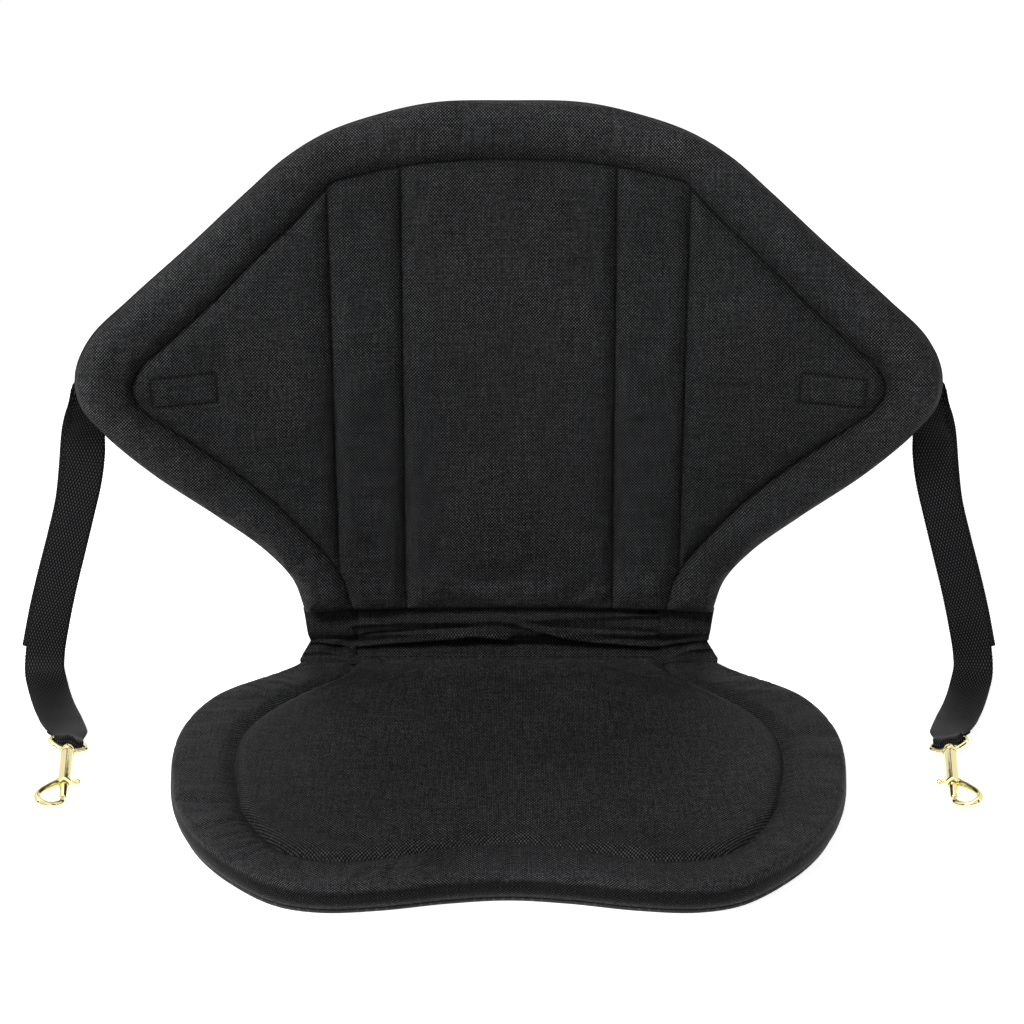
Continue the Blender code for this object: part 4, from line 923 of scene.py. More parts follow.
def strap_stations(side):
    """Places, width directions and widths down a strap, from its sewn end to its cut end.

    The webbing goes round the eye's bar and is sewn back on itself, runs up to the slide, passes
    in front of the outer bar, turns round the middle bar, and hangs down behind as the tail. Each
    layer stands off the drawn middle line by a smooth step of the distance from the bar.
    """
    lock, lock_bar = slide_bar(side, LOCK_FROM_TIP)
    outer, _ = slide_bar(side, LOCK_FROM_TIP - BAR_SPACING)
    clear, _ = slide_bar(side, LOCK_FROM_TIP - BAR_SPACING - SLIDE_FLAT)
    drawn, drawn_wide = route(STRAP_ROUTE, side)
    places = np.vstack([drawn, clear, outer, lock])
    widths = np.vstack([drawn_wide, [lock_bar] * 3])
    line = curve_through(places, 800)
    read_at = run_along(line)
    whole = read_at[-1]
    steps_left = np.arange(round(LOCK_FINE_RUN / LOCK_FINE_STEP) - 1, -1, -1)
    run = np.concatenate([np.arange(0, EYE_FINE_RUN, EYE_FINE_STEP),
                          np.linspace(EYE_FINE_RUN, whole - LOCK_FINE_RUN, 90),
                          whole - steps_left * LOCK_FINE_STEP])
    middle = read_along(run, read_at, line)
    along = unit(np.gradient(middle, axis=0))
    wide = square_to(read_along(run, read_at[nearest_index(line, places)], widths), along)
    off = np.cross(wide, along) * side
    at_bar = EYE_WIRE / 2 + 0.0003 + STRAP_THICKNESS / 2
    doubled = (STRAP_THICKNESS + LAYER_GAP) / 2
    eye_lift = at_bar + (doubled - at_bar) * smooth_step(run / EYE_FLARE)
    to_lock = whole - run
    turn = math.hypot(LOCK_BAR_WIDTH, LOCK_THICKNESS) / 2 + LAYER_GAP + STRAP_THICKNESS / 2
    lock_lift = turn * (1 - smooth_step((to_lock - BAR_SPACING - SLIDE_FLAT) / SLIDE_FLARE))
    lift = np.maximum(eye_lift, lock_lift)[:, None]
    gathered = smooth_step((run - GATHER_START) / GATHER_LENGTH)
    size = STRAP_GATHERED_WIDTH + (STRAP_WIDTH - STRAP_GATHERED_WIDTH) * gathered
    first = np.flatnonzero(run < FLAP_LENGTH)[::-1]
    last = np.flatnonzero(to_lock < BAR_SPACING + SLIDE_FLAT + LAYER_GAP)[::-1]
    eye_turn = half_turn(middle[0], -off[0], -along[0], eye_lift[0])
    lock_turn = half_turn(middle[-1], off[-1], along[-1], lift[-1])
    behind = middle[last] - off[last] * lift[last]
    tail, tail_ways = route(TAIL_ROUTE, side)
    tail = np.vstack([behind[-1], tail])
    tail_line = curve_through(tail, TAIL_POINTS)
    tail_wide = read_along(np.arange(TAIL_POINTS), nearest_index(tail_line, tail),
                           np.vstack([wide[last[-1]], tail_ways]))
    groups = [(middle[first] - off[first] * eye_lift[first, None], wide[first],
               FLAP_WIDTH_SHARE * size[first]),
              (eye_turn, wide[[0] * HALF_TURN_POINTS], size[[0] * HALF_TURN_POINTS]),
              (middle + off * lift, wide, size),
              (lock_turn, wide[[-1] * HALF_TURN_POINTS], size[[-1] * HALF_TURN_POINTS]),
              (behind, wide[last], np.full(len(last), STRAP_WIDTH)),
              (tail_line[1:], tail_wide[1:], np.full(TAIL_POINTS - 1, STRAP_WIDTH))]
    return [np.concatenate(column) for column in zip(*groups)]


def anchor_stations(side):
    """Webbing sewn flat to the back of the wing, round the slide's inner bar and back on itself."""
    bar = BACK_WIDTH / 2 - LOCK_FROM_TIP - BAR_SPACING
    end = BACK_WIDTH / 2 - ANCHOR_END_FROM_TIP
    turn = math.hypot(LOCK_BAR_WIDTH, LOCK_THICKNESS) / 2 + LAYER_GAP + STRAP_THICKNESS / 2
    first = 0.0003 + STRAP_THICKNESS / 2
    second = first + STRAP_THICKNESS + 0.0003
    sheet = bar - ANCHOR_RISE
    ramp = np.linspace(0, 1, 16)
    angle = np.linspace(0, math.pi, 13)[1:-1]
    flat_run = np.linspace(end, sheet, 16)[:-1]
    back_run = np.linspace(sheet, end + ANCHOR_FLAP_SHORTER, 14)[1:]
    u = np.concatenate([flat_run, sheet + (bar - sheet) * ramp, bar + turn * np.sin(angle),
                        bar - (bar - sheet) * ramp, back_run])
    w = np.concatenate([np.full(15, -first), -first + (first - LOCK_BEHIND_WING + turn) * smooth_step(ramp),
                        -LOCK_BEHIND_WING + turn * np.cos(angle),
                        -LOCK_BEHIND_WING - turn + (LOCK_BEHIND_WING + turn - second) * smooth_step(ramp),
                        np.full(13, -second)])
    low = on_back(side * u, np.full(len(u), LOCK_HEIGHT_ON_WING), w)
    high = on_back(side * u, np.full(len(u), LOCK_HEIGHT_ON_WING + 0.01), w)
    return low, unit(high - low), np.full(len(u), STRAP_WIDTH)


def make_ribbon(name, stations, curl_run=0.0, towards=None):
    """A woven ribbon: a flat section with rounded edges, carried along the stations.

    Across the ribbon at share a from -1 to 1 the half thickness is t (1 - a^8)^(1/2), and its edges
    wave by one row of the weft. At curl_run the section bends as cos(pi a) and its outer thirds are
    drawn towards the hook, because the webbing is squeezed into the hook's eye.
    """
    places, wide, size = stations
    step = run_along(places)
    keep = np.concatenate([[True], np.diff(step) > 1e-6])
    places, wide, size, step = places[keep], wide[keep], size[keep], step[keep]
    run = np.linspace(0, step[-1], int(step[-1] / RIBBON_STEP))
    line = curve_through(places, 3000)
    line_run = run_along(line)
    middle = read_along(run / run[-1], line_run / line_run[-1], line)
    size = np.interp(run, step, size)
    along = unit(np.gradient(middle, axis=0))
    wide = square_to(unit(read_along(run, step, wide)), along)
    normal = np.cross(along, wide)
    a = np.array([-1, -0.97, -0.88, -0.7, -0.45, -0.15, 0.15, 0.45, 0.7, 0.88, 0.97, 1])
    thick = STRAP_THICKNESS / 2 * np.sqrt(1 - np.abs(a) ** 8)
    across = np.concatenate([a, a[-2:0:-1]])
    rise = np.concatenate([thick, -thick[-2:0:-1]])
    edge = 1 + SELVEDGE_WAVE * np.sin(2 * math.pi * run / WEFT_PITCH)[:, None] * np.abs(across) ** 6
    rings = middle[:, None] + wide[:, None] * (across * edge * size[:, None] / 2)[..., None]
    rings = rings + normal[:, None] * rise[None, :, None]
    if towards is not None:
        bend = np.exp(-((run - curl_run) / EYE_BEND_RUN) ** 2)[:, None]
        droop = np.exp(-((run - curl_run) / EYE_DROOP_RUN) ** 2)[:, None]
        outer_thirds = np.exp(-((np.abs(across) - 0.58) / 0.26) ** 2)
        hump = EYE_CURL * EYE_BEND_SHARE * bend * np.cos(math.pi * across)
        rings = rings + normal[:, None] * hump[..., None]
        rings = rings + towards * (EYE_CURL * droop * outer_thirds)[..., None]
    maps = np.stack([np.broadcast_to(across * STRAP_WIDTH / 2, rings.shape[:2]),
                     np.broadcast_to(run[:, None], rings.shape[:2])], -1).reshape(-1, 2)
    piece = add_shells(name, [skin(rings)], webbing_material(), {"cloth": maps})
    return piece


def make_straps():
    """Both straps and the anchors behind the wings."""
    for side, word in SIDES:
        along_hook = hook_frame(side)[1][0]
        piece = make_ribbon("strap_webbing_" + word, strap_stations(side),
                            FLAP_LENGTH + CURL_AFTER_FLAP, along_hook)
        belongs(piece, "seat", "webbing", "strap_" + word)
        piece = make_ribbon("anchor_webbing_" + word, anchor_stations(side))
        belongs(piece, "seat", "webbing", "anchor_strap_" + word)


def make_slides():
    """Three-bar plastic slides: the cells of a 5 by 3 grid, two of them open, with moulded round edges."""
    inner = STRAP_WIDTH / 2 + SLIDE_CLEARANCE
    high = inner + LOCK_SIDE_WIDTH
    half_bar = LOCK_BAR_WIDTH / 2
    spots = [LOCK_FROM_TIP + BAR_SPACING, LOCK_FROM_TIP, LOCK_FROM_TIP - BAR_SPACING]
    us = np.array([BACK_WIDTH / 2 - spot + edge for spot in spots for edge in (-half_bar, half_bar)])
    vs = LOCK_HEIGHT_ON_WING + np.array([-high, -inner, inner, high])
    filled = np.ones((5, 3), bool)
    filled[1::2, 1] = False
    for side, word in SIDES:
        u, v = np.meshgrid(side * us, vs, indexing="ij")
        faces_at = [on_back(u, v, np.full(u.shape, -LOCK_BEHIND_WING + half))
                    for half in (LOCK_THICKNESS / 2, -LOCK_THICKNESS / 2)]
        piece = add_shells("slide_" + word, [walled(filled, *faces_at, False)], acetal_material())
        bevel = piece.modifiers.new("moulded_edge", "BEVEL")
        bevel.width, bevel.segments, bevel.limit_method = SLIDE_ROUND, 3, "ANGLE"
        belongs(piece, "seat", "slide_plastic", "ladder_lock_" + word)


def wire(points, radius, sides=16, closed=False, depth=1.0):
    """Rings of a wire along a line in the XY plane: place + r (cos t sideways + depth sin t Z)."""
    line = np.asarray(points, float)
    along = np.roll(line, -1, 0) - np.roll(line, 1, 0) if closed else np.gradient(line, axis=0)
    sideways = unit(np.stack([-along[:, 1], along[:, 0]], axis=1))
    t = (np.arange(sides) + 0.5) * 2 * math.pi / sides
    r = np.broadcast_to(radius, len(line))[:, None]
    flat = line[:, None] + sideways[:, None] * (r * np.cos(t))[..., None]
    return np.dstack([flat, r * depth * np.sin(t)])


def turned(profile, sides=40):
    """Rings of a solid turned about X from (along, radius) pairs."""
    a, r = np.array(profile, float).T[..., None]
    t = np.arange(sides) * 2 * math.pi / sides
    return np.dstack([np.broadcast_to(a, (len(a), sides)), r * np.cos(t), r * np.sin(t)])


def eye_shells():
    """The hook's eye: a D of wire for the webbing, and the boss that the body's stud turns in."""
    half = STRAP_GATHERED_WIDTH / 2 + 0.0004 + EYE_WIRE / 2
    boss = BOSS_START + BOSS_LENGTH / 2
    right = [(0, 0), (0, half * 0.5), (0, half - EYE_CORNER), (EYE_CORNER * 0.3, half - EYE_CORNER * 0.3),
             (EYE_CORNER, half), (boss * 0.42, half), (boss * 0.76, half * 0.66), (boss * 0.96, half * 0.36)]
    line = curve_through(right + [(boss, 0)] + [(a, -b) for a, b in right[::-1]], 121)[:-1]
    hole, outer = STUD_DIAMETER / 2 + 0.0003, BOSS_DIAMETER / 2
    end = BOSS_START + BOSS_LENGTH
    ring = [(BOSS_START, hole), (BOSS_START, outer - 0.0008), (BOSS_START + 0.0003, outer - 0.0002),
            (BOSS_START + 0.0009, outer), (end - 0.0009, outer), (end - 0.0003, outer - 0.0002),
            (end, outer - 0.0008), (end, hole)]
    return [skin(wire(line, EYE_WIRE / 2, closed=True), closed=True), skin(turned(ring), closed=True)]


def body_shells():
    """The hook's body: stud, barrel with the bolt's slot, and the open arm that ends at the bolt's tip."""
    stud, head, barrel = STUD_DIAMETER / 2, STUD_HEAD_DIAMETER / 2, BARREL_DIAMETER / 2
    head_end = BOSS_START - 0.0003
    head_start = head_end - STUD_HEAD_LENGTH
    bore_start = BARREL_START + BLIND_WALL
    plug = [(head_start, head * 0.45), (head_start + 0.0003, head * 0.8), (head_start + 0.0008, head),
            (head_end, head), (head_end, stud), (BARREL_START, stud), (BARREL_START, barrel - 0.0012),
            (BARREL_START + 0.0004, barrel - 0.0004), (BARREL_START + 0.0011, barrel),
            (bore_start, barrel), (bore_start, BORE_DIAMETER / 2 * 0.4)]
    knob = BARREL_END - KNOB_FROM_MOUTH
    slot_start, slot_end = knob - BOLT_TRAVEL - KNOB_NECK / 2 - 0.0004, knob + KNOB_NECK / 2 + 0.0004
    open_half = math.asin((KNOB_NECK / 2 + 0.0003) / barrel)
    angles = np.concatenate([[math.pi - open_half],
                             np.linspace(math.pi + open_half, 3 * math.pi - open_half, 40)[:-1]])
    rows = np.array([bore_start - 0.0002, slot_start, slot_end, BARREL_END - 0.0020, BARREL_END - 0.0016,
                     BARREL_END - 0.0006, BARREL_END - 0.0002, BARREL_END])
    outer_r = barrel + np.array([0, 0, 0, 0, 0.00035, 0.00035, 0.0002, -0.0002])
    walls = [np.dstack([np.broadcast_to(rows[:, None], (len(rows), len(angles))),
                        r[:, None] * np.cos(angles), r[:, None] * np.sin(angles)])
             for r in (outer_r, np.full(len(rows), BORE_DIAMETER / 2))]
    filled = np.ones((len(rows) - 1, len(angles)), bool)
    filled[1, 0] = False
    arm = curve_through(np.array(HOOK_ARM) * MM + (BARREL_END, 0), 80)
    swells = ([0, 0.1, 0.45, 0.62, 0.72, 0.93, 1], [0.8, 1, 0.9, 1.06, 0.92, 0.98, 0.82])
    size = HOOK_WIRE / 2 * np.interp(np.linspace(0, 1, 80), *swells)
    return [skin(turned(plug)), walled(filled, *walls, True), skin(wire(arm, size, 18, depth=1.12))]


def bolt_shells():
    """The bolt: a rod with a round tip, and a thumb knob turned about the way out of the slot."""
    radius = BORE_DIAMETER / 2 - BOLT_CLEARANCE
    start = BARREL_START + BLIND_WALL + SPRING_ROOM
    end = BARREL_END + HOOK_ARM[-1][0] * MM - BOLT_TIP_GAP
    rod = [(start, radius - 0.0006), (start + 0.0006, radius), (end - 0.0012, radius),
           (end - 0.0005, radius - 0.0002), (end - 0.0001, radius - 0.0007), (end, radius - 0.0014)]
    under_head = KNOB_REACH - KNOB_HEAD_LENGTH
    neck, head = KNOB_NECK / 2, KNOB_HEAD / 2
    knob = [(radius * 0.4, neck), (under_head - 0.0010, neck), (under_head - 0.0003, neck + 0.0003),
            (under_head, head - 0.0003), (under_head + 0.0006, head), (KNOB_REACH - 0.0009, head),
            (KNOB_REACH - 0.0003, head - 0.0004), (KNOB_REACH, head - 0.0013)]
    rings = turned(knob, 28)
    rings = np.dstack([BARREL_END - KNOB_FROM_MOUTH + rings[..., 1], -rings[..., 0], rings[..., 2]])
    return [skin(turned(rod, 32)), skin(rings)]


def spring_shell():
    """The bolt's spring: a wire round the helix (a, R cos t, R sin t), where a rises evenly with t."""
    start = BARREL_START + BLIND_WALL + SPRING_GAP + SPRING_WIRE / 2
    end = BARREL_START + BLIND_WALL + SPRING_ROOM - SPRING_GAP - SPRING_WIRE / 2
    radius = BORE_DIAMETER / 2 - SPRING_CLEARANCE - SPRING_WIRE / 2
    t = np.linspace(0, 2 * math.pi * SPRING_COILS, 109)
    out = np.stack([0 * t, np.cos(t), np.sin(t)], axis=1)
    middle = out * radius
    middle[:, 0] = np.linspace(start, end, len(t))
    third = np.cross(unit(np.gradient(middle, axis=0)), out)
    s = np.arange(8)[:, None] * math.pi / 4
    return skin(middle[:, None] + SPRING_WIRE / 2 * (np.cos(s) * out[:, None] + np.sin(s) * third[:, None]))


def make_hooks():
    """Eye, body and bolt of each snap hook, on the three bodies that move apart, and its spring.

    The spring stands on the blind end of the bore.
    """
    for side, word in SIDES:
        origin, directions = hook_frame(side)
        for title, body, shells, node in (("eye", "eye_", eye_shells(), "hook_eye_"),
                                          ("body", "hook_", body_shells(), "hook_body_"),
                                          ("bolt", "bolt_", bolt_shells(), "hook_bolt_")):
            placed = [(origin + points @ directions, faces) for points, faces in shells]
            piece = add_shells("snap_" + title + "_" + word, placed, gold_material())
            belongs(piece, body + word, "gold_plate", node + word)
        points, faces = spring_shell()
        spring = add_shells("coil_spring_" + word, [(origin + points @ directions, faces)], spring_material())
        belongs(spring, "hook_" + word, "spring_wire", "hook_spring_" + word)
        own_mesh(spring)


def add_stitches(name, rows):
    """Rows of sewing thread, each row given as places along it and the ways out of the cloth.

    A stitch is a capsule of five rings: across it r = (1 - t^4)^(1/2), with t from -1 to 1 along
    it, and its two ends dip into the cloth by t^4 of its thickness.
    """
    sizes, _ = settings()
    pitch, length, thick = sizes.stitch_pitch, sizes.stitch_length, sizes.stitch_thickness
    centres, ways, ups = [], [], []
    for line, out in rows:
        run = run_along(line)
        at = np.arange(pitch / 2, run[-1], pitch)
        if not len(at):
            continue
        ends = [read_along(np.clip(at + move, 0, run[-1]), run, line) for move in (-length / 2, length / 2)]
        centres.append((ends[0] + ends[1]) / 2)
        ways.append(unit(ends[1] - ends[0]))
        ups.append(read_along(at, run, out))
    centres, ways, ups = np.vstack(centres), np.vstack(ways), np.vstack(ups)
    ups = square_to(ups, ways)
    beside = np.cross(ways, ups)
    t = np.array([-1, -0.75, 0, 0.75, 1.0])
    r = np.array([0.35, 0.85, 1.0, 0.85, 0.35]) * thick / 2
    a = np.arange(6) * math.pi / 3
    lift = r[:, None] * np.sin(a) - (t ** 4 * thick * 0.6)[:, None]
    rings = (centres[:, None, None] + ways[:, None, None] * (t * length / 2)[None, :, None, None]
             + beside[:, None, None] * (r[:, None] * np.cos(a))[None, ..., None]
             + ups[:, None, None] * lift[None, ..., None])
    count = len(centres)
    one = grid_faces(5, 6, False, True)
    faces = (one[None] + 30 * np.arange(count)[:, None, None]).reshape(-1, 4)[:, ::-1].tolist()
    caps = np.stack([np.arange(6), 24 + np.arange(6)[::-1]])
    faces += (caps[None] + 30 * np.arange(count)[:, None, None]).reshape(-1, 6).tolist()
    piece = add_mesh(name, rings.reshape(-1, 3), faces, thread_material())
    return belongs(piece, "seat", "webbing")


def make_stitches():
    """Every visible row of stitches, laid on the surfaces that it holds."""
    outline, seams = back_lines()
    loop = np.vstack([outline, outline[:1]])
    front, rear = [], []
    for line in seams + box_lines():
        line = spaced(line, ROW_STEP)
        height = back_face(line, loop, seams)[0]
        place = on_back(line[:, 0], line[:, 1], height + THREAD_OVER_BACK)
        out = on_back(line[:, 0], line[:, 1], height + 0.001) - place
        front.append((place, unit(out)))
        place = on_back(line[:, 0], line[:, 1], np.full(len(line), REAR_TUCK - THREAD_IN_REAR))
        rear.append((place, -unit(out)))
    add_stitches("stitches_back", front)
    add_stitches("stitches_rear", rear)
    rows = []
    for s, half in WEB_ROWS:
        x = np.arange(-half, half, ROW_STEP)
        place, out = web_surface(x, np.full(len(x), s))
        rows.append((place + out * THREAD_OVER_WEB, out))
    for side in (-1, 1):
        s = np.linspace(*WEB_SEAM_SHARES, 40)
        place, out = web_surface(np.full(40, side * WEB_SEAM), s)
        rows.append((place + out * THREAD_OVER_WEB, out))
    add_stitches("stitches_web", rows)
    rows = []
    near, far = ANCHOR_BOX
    low, high = LOCK_HEIGHT_ON_WING - ANCHOR_BOX_HALF, LOCK_HEIGHT_ON_WING + ANCHOR_BOX_HALF
    outside = ANCHOR_GAP + 2 * STRAP_THICKNESS + THREAD_IN_REAR
    for side in (-1, 1):
        box = np.array([(near, low), (far, low), (far, high), (near, high), (near, low), (far, high)])
        line = spaced(box * (side, 1), ROW_STEP)
        place = on_back(line[:, 0], line[:, 1], np.full(len(line), -outside))
        rows.append((place, unit(place - on_back(line[:, 0], line[:, 1], np.full(len(line), 0.0)))))
    add_stitches("stitches_anchor", rows)


def finish_inside():
    """The battens inside the channels keep their CAD shapes and get their material."""
    for word in ("left", "right"):
        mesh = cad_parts["back_stay_" + word].data
        mesh.materials.clear()
        mesh.materials.append(polythene_material())


def woven(tree, place, across, along):
    """Threads that go over and under each other: 0.5 + 0.5 cos(2 pi u / across) cos(pi v / along)."""
    split = add_node(tree, "ShaderNodeSeparateXYZ", {}, {"Vector": place})
    waves = []
    for axis, turn in (("X", 2 * math.pi / across), ("Y", math.pi / along)):
        angle = add_node(tree, "ShaderNodeMath", {"operation": "MULTIPLY"}, {0: (split, axis), 1: turn})
        waves.append(add_node(tree, "ShaderNodeMath", {"operation": "COSINE"}, {0: angle}))
    product = add_node(tree, "ShaderNodeMath", {"operation": "MULTIPLY"}, {0: waves[0], 1: waves[1]})
    return add_node(tree, "ShaderNodeMath", {"operation": "MULTIPLY_ADD"}, {0: product, 1: 0.5, 2: 0.5})


def cloth_material(use):
    """Plain-woven polyester, the 600-denier cloth of bags and boat seats.

    The yarn tops are lighter and the gaps between them near black, partly the weave's own look and partly
    a painted highlight on the tops and painted shade in the gaps. Real yarns lie 0.5 mm apart and are
    drawn 1 mm apart, as coarse as the picture needs to show them. Single yarns differ in tone at random,
    the crossings carry random painted glints, painted shade darkens the stitched valleys and the edge
    seam, and a painted highlight makes the cloth paler towards the rim.
    """
    name = "woven_polyester_" + use
    found = bpy.data.materials.get(name)
    if found:
        return found
    sizes, colours = settings()
    made, tree = new_material(name)
    place = add_node(tree, "ShaderNodeUVMap", {"uv_map": "cloth"})
    weave = woven(tree, place, 2 * sizes.thread_pitch, sizes.thread_pitch)
    where = (add_node(tree, "ShaderNodeTexCoord"), "Object")
    fibre = add_node(tree, "ShaderNodeTexNoise", {}, {"Scale": FIBRES, "Detail": 1.0, "Vector": where})
    crown = add_node(tree, "ShaderNodeMapRange", {}, {"Value": weave, "From Min": 0.25, "From Max": 0.95})
    raised = add_node(tree, "ShaderNodeMath", {"operation": "POWER"}, {0: crown, 1: 2.2})
    # Yarn tops get the cloth colour and gaps the near-black gap colour: partly the weave's own look, partly a
    # painted highlight on the tops and painted shade in the gaps
    colour = add_node(tree, "ShaderNodeMixRGB", {}, {"Color1": colours.cloth_gap, "Color2": colours.cloth,
                                                     "Fac": raised})

    yarns = []
    for turn in ((40, 900, 1), (900, 40, 1)):
        spread = add_node(tree, "ShaderNodeMapping", {}, {"Scale": turn, "Vector": place})
        noise = add_node(tree, "ShaderNodeTexNoise", {}, {"Scale": 1.0, "Detail": 1.0, "Vector": spread})
        yarns.append(add_node(tree, "ShaderNodeMapRange", {},
                              {"Value": noise, "From Min": 0.3, "From Max": 0.7,
                               "To Min": 0.75, "To Max": 1.25}))
    # Random painted glints on the crossings of the yarns
    crossing_glint = add_node(tree, "ShaderNodeTexNoise", {}, {"Scale": CROSSING_GLINTS, "Detail": 2.0, "Vector": where})
    worn = add_node(tree, "ShaderNodeTexNoise", {}, {"Scale": WORN_PATCHES, "Detail": 3.0, "Vector": where})
    seam = (add_node(tree, "ShaderNodeAttribute", {"attribute_name": "seam_gap"}), "Fac")
    edge = (add_node(tree, "ShaderNodeAttribute", {"attribute_name": "edge_gap"}), "Fac")
    tone = yarns[0]
    # Tone factors: yarns at random, painted glints on crossings, random patches, painted shade in the
    # stitched valleys, a painted highlight paler towards the edge, painted shade along the edge seam
    for source, low, high, least, most in ((yarns[1], 0.0, 2.0, 0.0, 2.0), (crossing_glint, 0.35, 0.65, 0.6, 1.4),
                                           (worn, 0.3, 0.7, 0.85, 1.15), (seam, 0.0002, 0.0013, 0.3, 1.0),
                                           (edge, 0.004, 0.032, 1.5, 1.0), (edge, 0.0003, 0.0012, 0.25, 1.0)):
        share = add_node(tree, "ShaderNodeMapRange", {}, {"Value": source, "From Min": low, "From Max": high,
                                                          "To Min": least, "To Max": most})
        tone = add_node(tree, "ShaderNodeMath", {"operation": "MULTIPLY"}, {0: tone, 1: share})
    toned = add_node(tree, "ShaderNodeVectorMath", {"operation": "SCALE"}, {0: colour, "Scale": tone})

    height = add_node(tree, "ShaderNodeMath", {"operation": "MULTIPLY_ADD"}, {0: fibre, 1: 0.25, 2: weave})
    bump = add_node(tree, "ShaderNodeBump", {}, {"Strength": 0.8, "Distance": 0.0003, "Height": height})
    rough = add_node(tree, "ShaderNodeMapRange", {}, {"Value": fibre, "To Min": 0.45, "To Max": 0.65})
    shader = add_node(tree, "ShaderNodeBsdfPrincipled", {},
                      {"Base Color": toned, "Roughness": rough, "Normal": bump, "IOR": 1.5,
                       "Specular IOR Level": 0.05})
    add_node(tree, "ShaderNodeOutputMaterial", {}, {"Surface": shader})
    return made


def webbing_material():
    """Flat polypropylene webbing, woven 25 mm wide.

    Its weft bulges up between stiff warps as rows of dots 2 mm apart, each row half a dot aside,
    their tops painted lighter as a painted highlight and the gaps near black as painted shade, partly
    the weave's own look; its two selvedges are tight, darker cords.
    """
    found = bpy.data.materials.get("woven_polypropylene")
    if found:
        return found
    sizes, colours = settings()
    made, tree = new_material("woven_polypropylene")
    place = add_node(tree, "ShaderNodeUVMap", {"uv_map": "cloth"})
    dots = woven(tree, place, sizes.dot_pitch, WEFT_PITCH)
    split = add_node(tree, "ShaderNodeSeparateXYZ", {}, {"Vector": place})
    from_middle = add_node(tree, "ShaderNodeMath", {"operation": "ABSOLUTE"}, {0: (split, "X")})
    edge = add_node(tree, "ShaderNodeMapRange", {"interpolation_type": "SMOOTHSTEP"},
                    {"Value": from_middle, "From Min": 0.0109, "From Max": 0.0117})
    angle = add_node(tree, "ShaderNodeMath", {"operation": "MULTIPLY"},
                     {0: (split, "Y"), 1: 2 * math.pi / WEFT_PITCH})
    wave = add_node(tree, "ShaderNodeMath", {"operation": "COSINE"}, {0: angle})
    rib = add_node(tree, "ShaderNodeMath", {"operation": "MULTIPLY_ADD"}, {0: wave, 1: 0.3, 2: 0.3})
    pattern = add_node(tree, "ShaderNodeMix", {}, {"Factor": edge, "A": dots, "B": rib})
    where = (add_node(tree, "ShaderNodeTexCoord"), "Object")
    fibre = add_node(tree, "ShaderNodeTexNoise", {},
                     {"Scale": WEBBING_FIBRES, "Detail": 1.0, "Vector": where})
    worn = add_node(tree, "ShaderNodeTexNoise", {},
                    {"Scale": WEBBING_PATCHES, "Detail": 2.0, "Vector": where})
    crown = add_node(tree, "ShaderNodeMapRange", {}, {"Value": pattern, "From Min": 0.35, "From Max": 1.0})
    raised = add_node(tree, "ShaderNodeMath", {"operation": "POWER"}, {0: crown, 1: 2.6})
    # Dot tops get the webbing colour and gaps the near-black gap colour: partly the weave's own look, partly
    # a painted highlight on the dots and painted shade between them
    colour = add_node(tree, "ShaderNodeMixRGB", {}, {"Color1": colours.webbing_gap, "Color2": colours.webbing,
                                                     "Fac": raised})
    broad = add_node(tree, "ShaderNodeMath", {"operation": "MULTIPLY_ADD"}, {0: worn, 1: 0.5, 2: 0.75})
    fine = add_node(tree, "ShaderNodeMath", {"operation": "MULTIPLY_ADD"}, {0: fibre, 1: 0.8, 2: 0.6})
    tone = add_node(tree, "ShaderNodeMath", {"operation": "MULTIPLY"}, {0: broad, 1: fine})
    toned = add_node(tree, "ShaderNodeVectorMath", {"operation": "SCALE"}, {0: colour, "Scale": tone})
    bump = add_node(tree, "ShaderNodeBump", {}, {"Strength": 0.7, "Distance": 0.0004, "Height": pattern})
    shader = add_node(tree, "ShaderNodeBsdfPrincipled", {},
                      {"Base Color": toned, "Normal": bump, "Roughness": 0.5, "IOR": 1.49,
                       "Specular IOR Level": 0.07})
    add_node(tree, "ShaderNodeOutputMaterial", {}, {"Surface": shader})
    return made


def grained_material(name, colour, finish, grain, spread, depth, roughness):
    """A plain finish whose tone, roughness and surface vary with one noise of grains a real size apart.

    grain is the grains' size in metres, spread how far the tone varies, depth the height of the
    grain in metres and roughness its lowest and highest value.
    """
    found = bpy.data.materials.get(name)
    if found:
        return found
    made, tree = new_material(name)
    where = (add_node(tree, "ShaderNodeTexCoord"), "Object")
    noise = add_node(tree, "ShaderNodeTexNoise", {}, {"Scale": 1 / grain, "Detail": 3.0, "Vector": where})
    broad = add_node(tree, "ShaderNodeTexNoise", {}, {"Scale": PLAIN_PATCHES, "Detail": 2.0, "Vector": where})
    tone = add_node(tree, "ShaderNodeMapRange", {}, {"Value": broad, "From Min": 0.3, "From Max": 0.7,
                                                     "To Min": 1 - spread, "To Max": 1 + spread})
    toned = add_node(tree, "ShaderNodeVectorMath", {"operation": "SCALE"},
                     {0: tuple(colour)[:3], "Scale": tone})
    least, most = roughness
    rough = add_node(tree, "ShaderNodeMapRange", {}, {"Value": noise, "To Min": least, "To Max": most})
    bump = add_node(tree, "ShaderNodeBump", {}, {"Strength": 0.5, "Distance": depth, "Height": noise})
    shader = add_node(tree, "ShaderNodeBsdfPrincipled", {},
                      {"Base Color": toned, "Roughness": rough, "Normal": bump, **finish})
    add_node(tree, "ShaderNodeOutputMaterial", {}, {"Surface": shader})
    return made


def thread_material():
    """Bonded polyester sewing thread: smooth and almost black."""
    _, colours = settings()
    return grained_material("bonded_polyester_thread", colours.thread,
                            {"IOR": 1.5, "Specular IOR Level": 0.1}, 0.0003, 0.15, 0.00005, (0.45, 0.6))


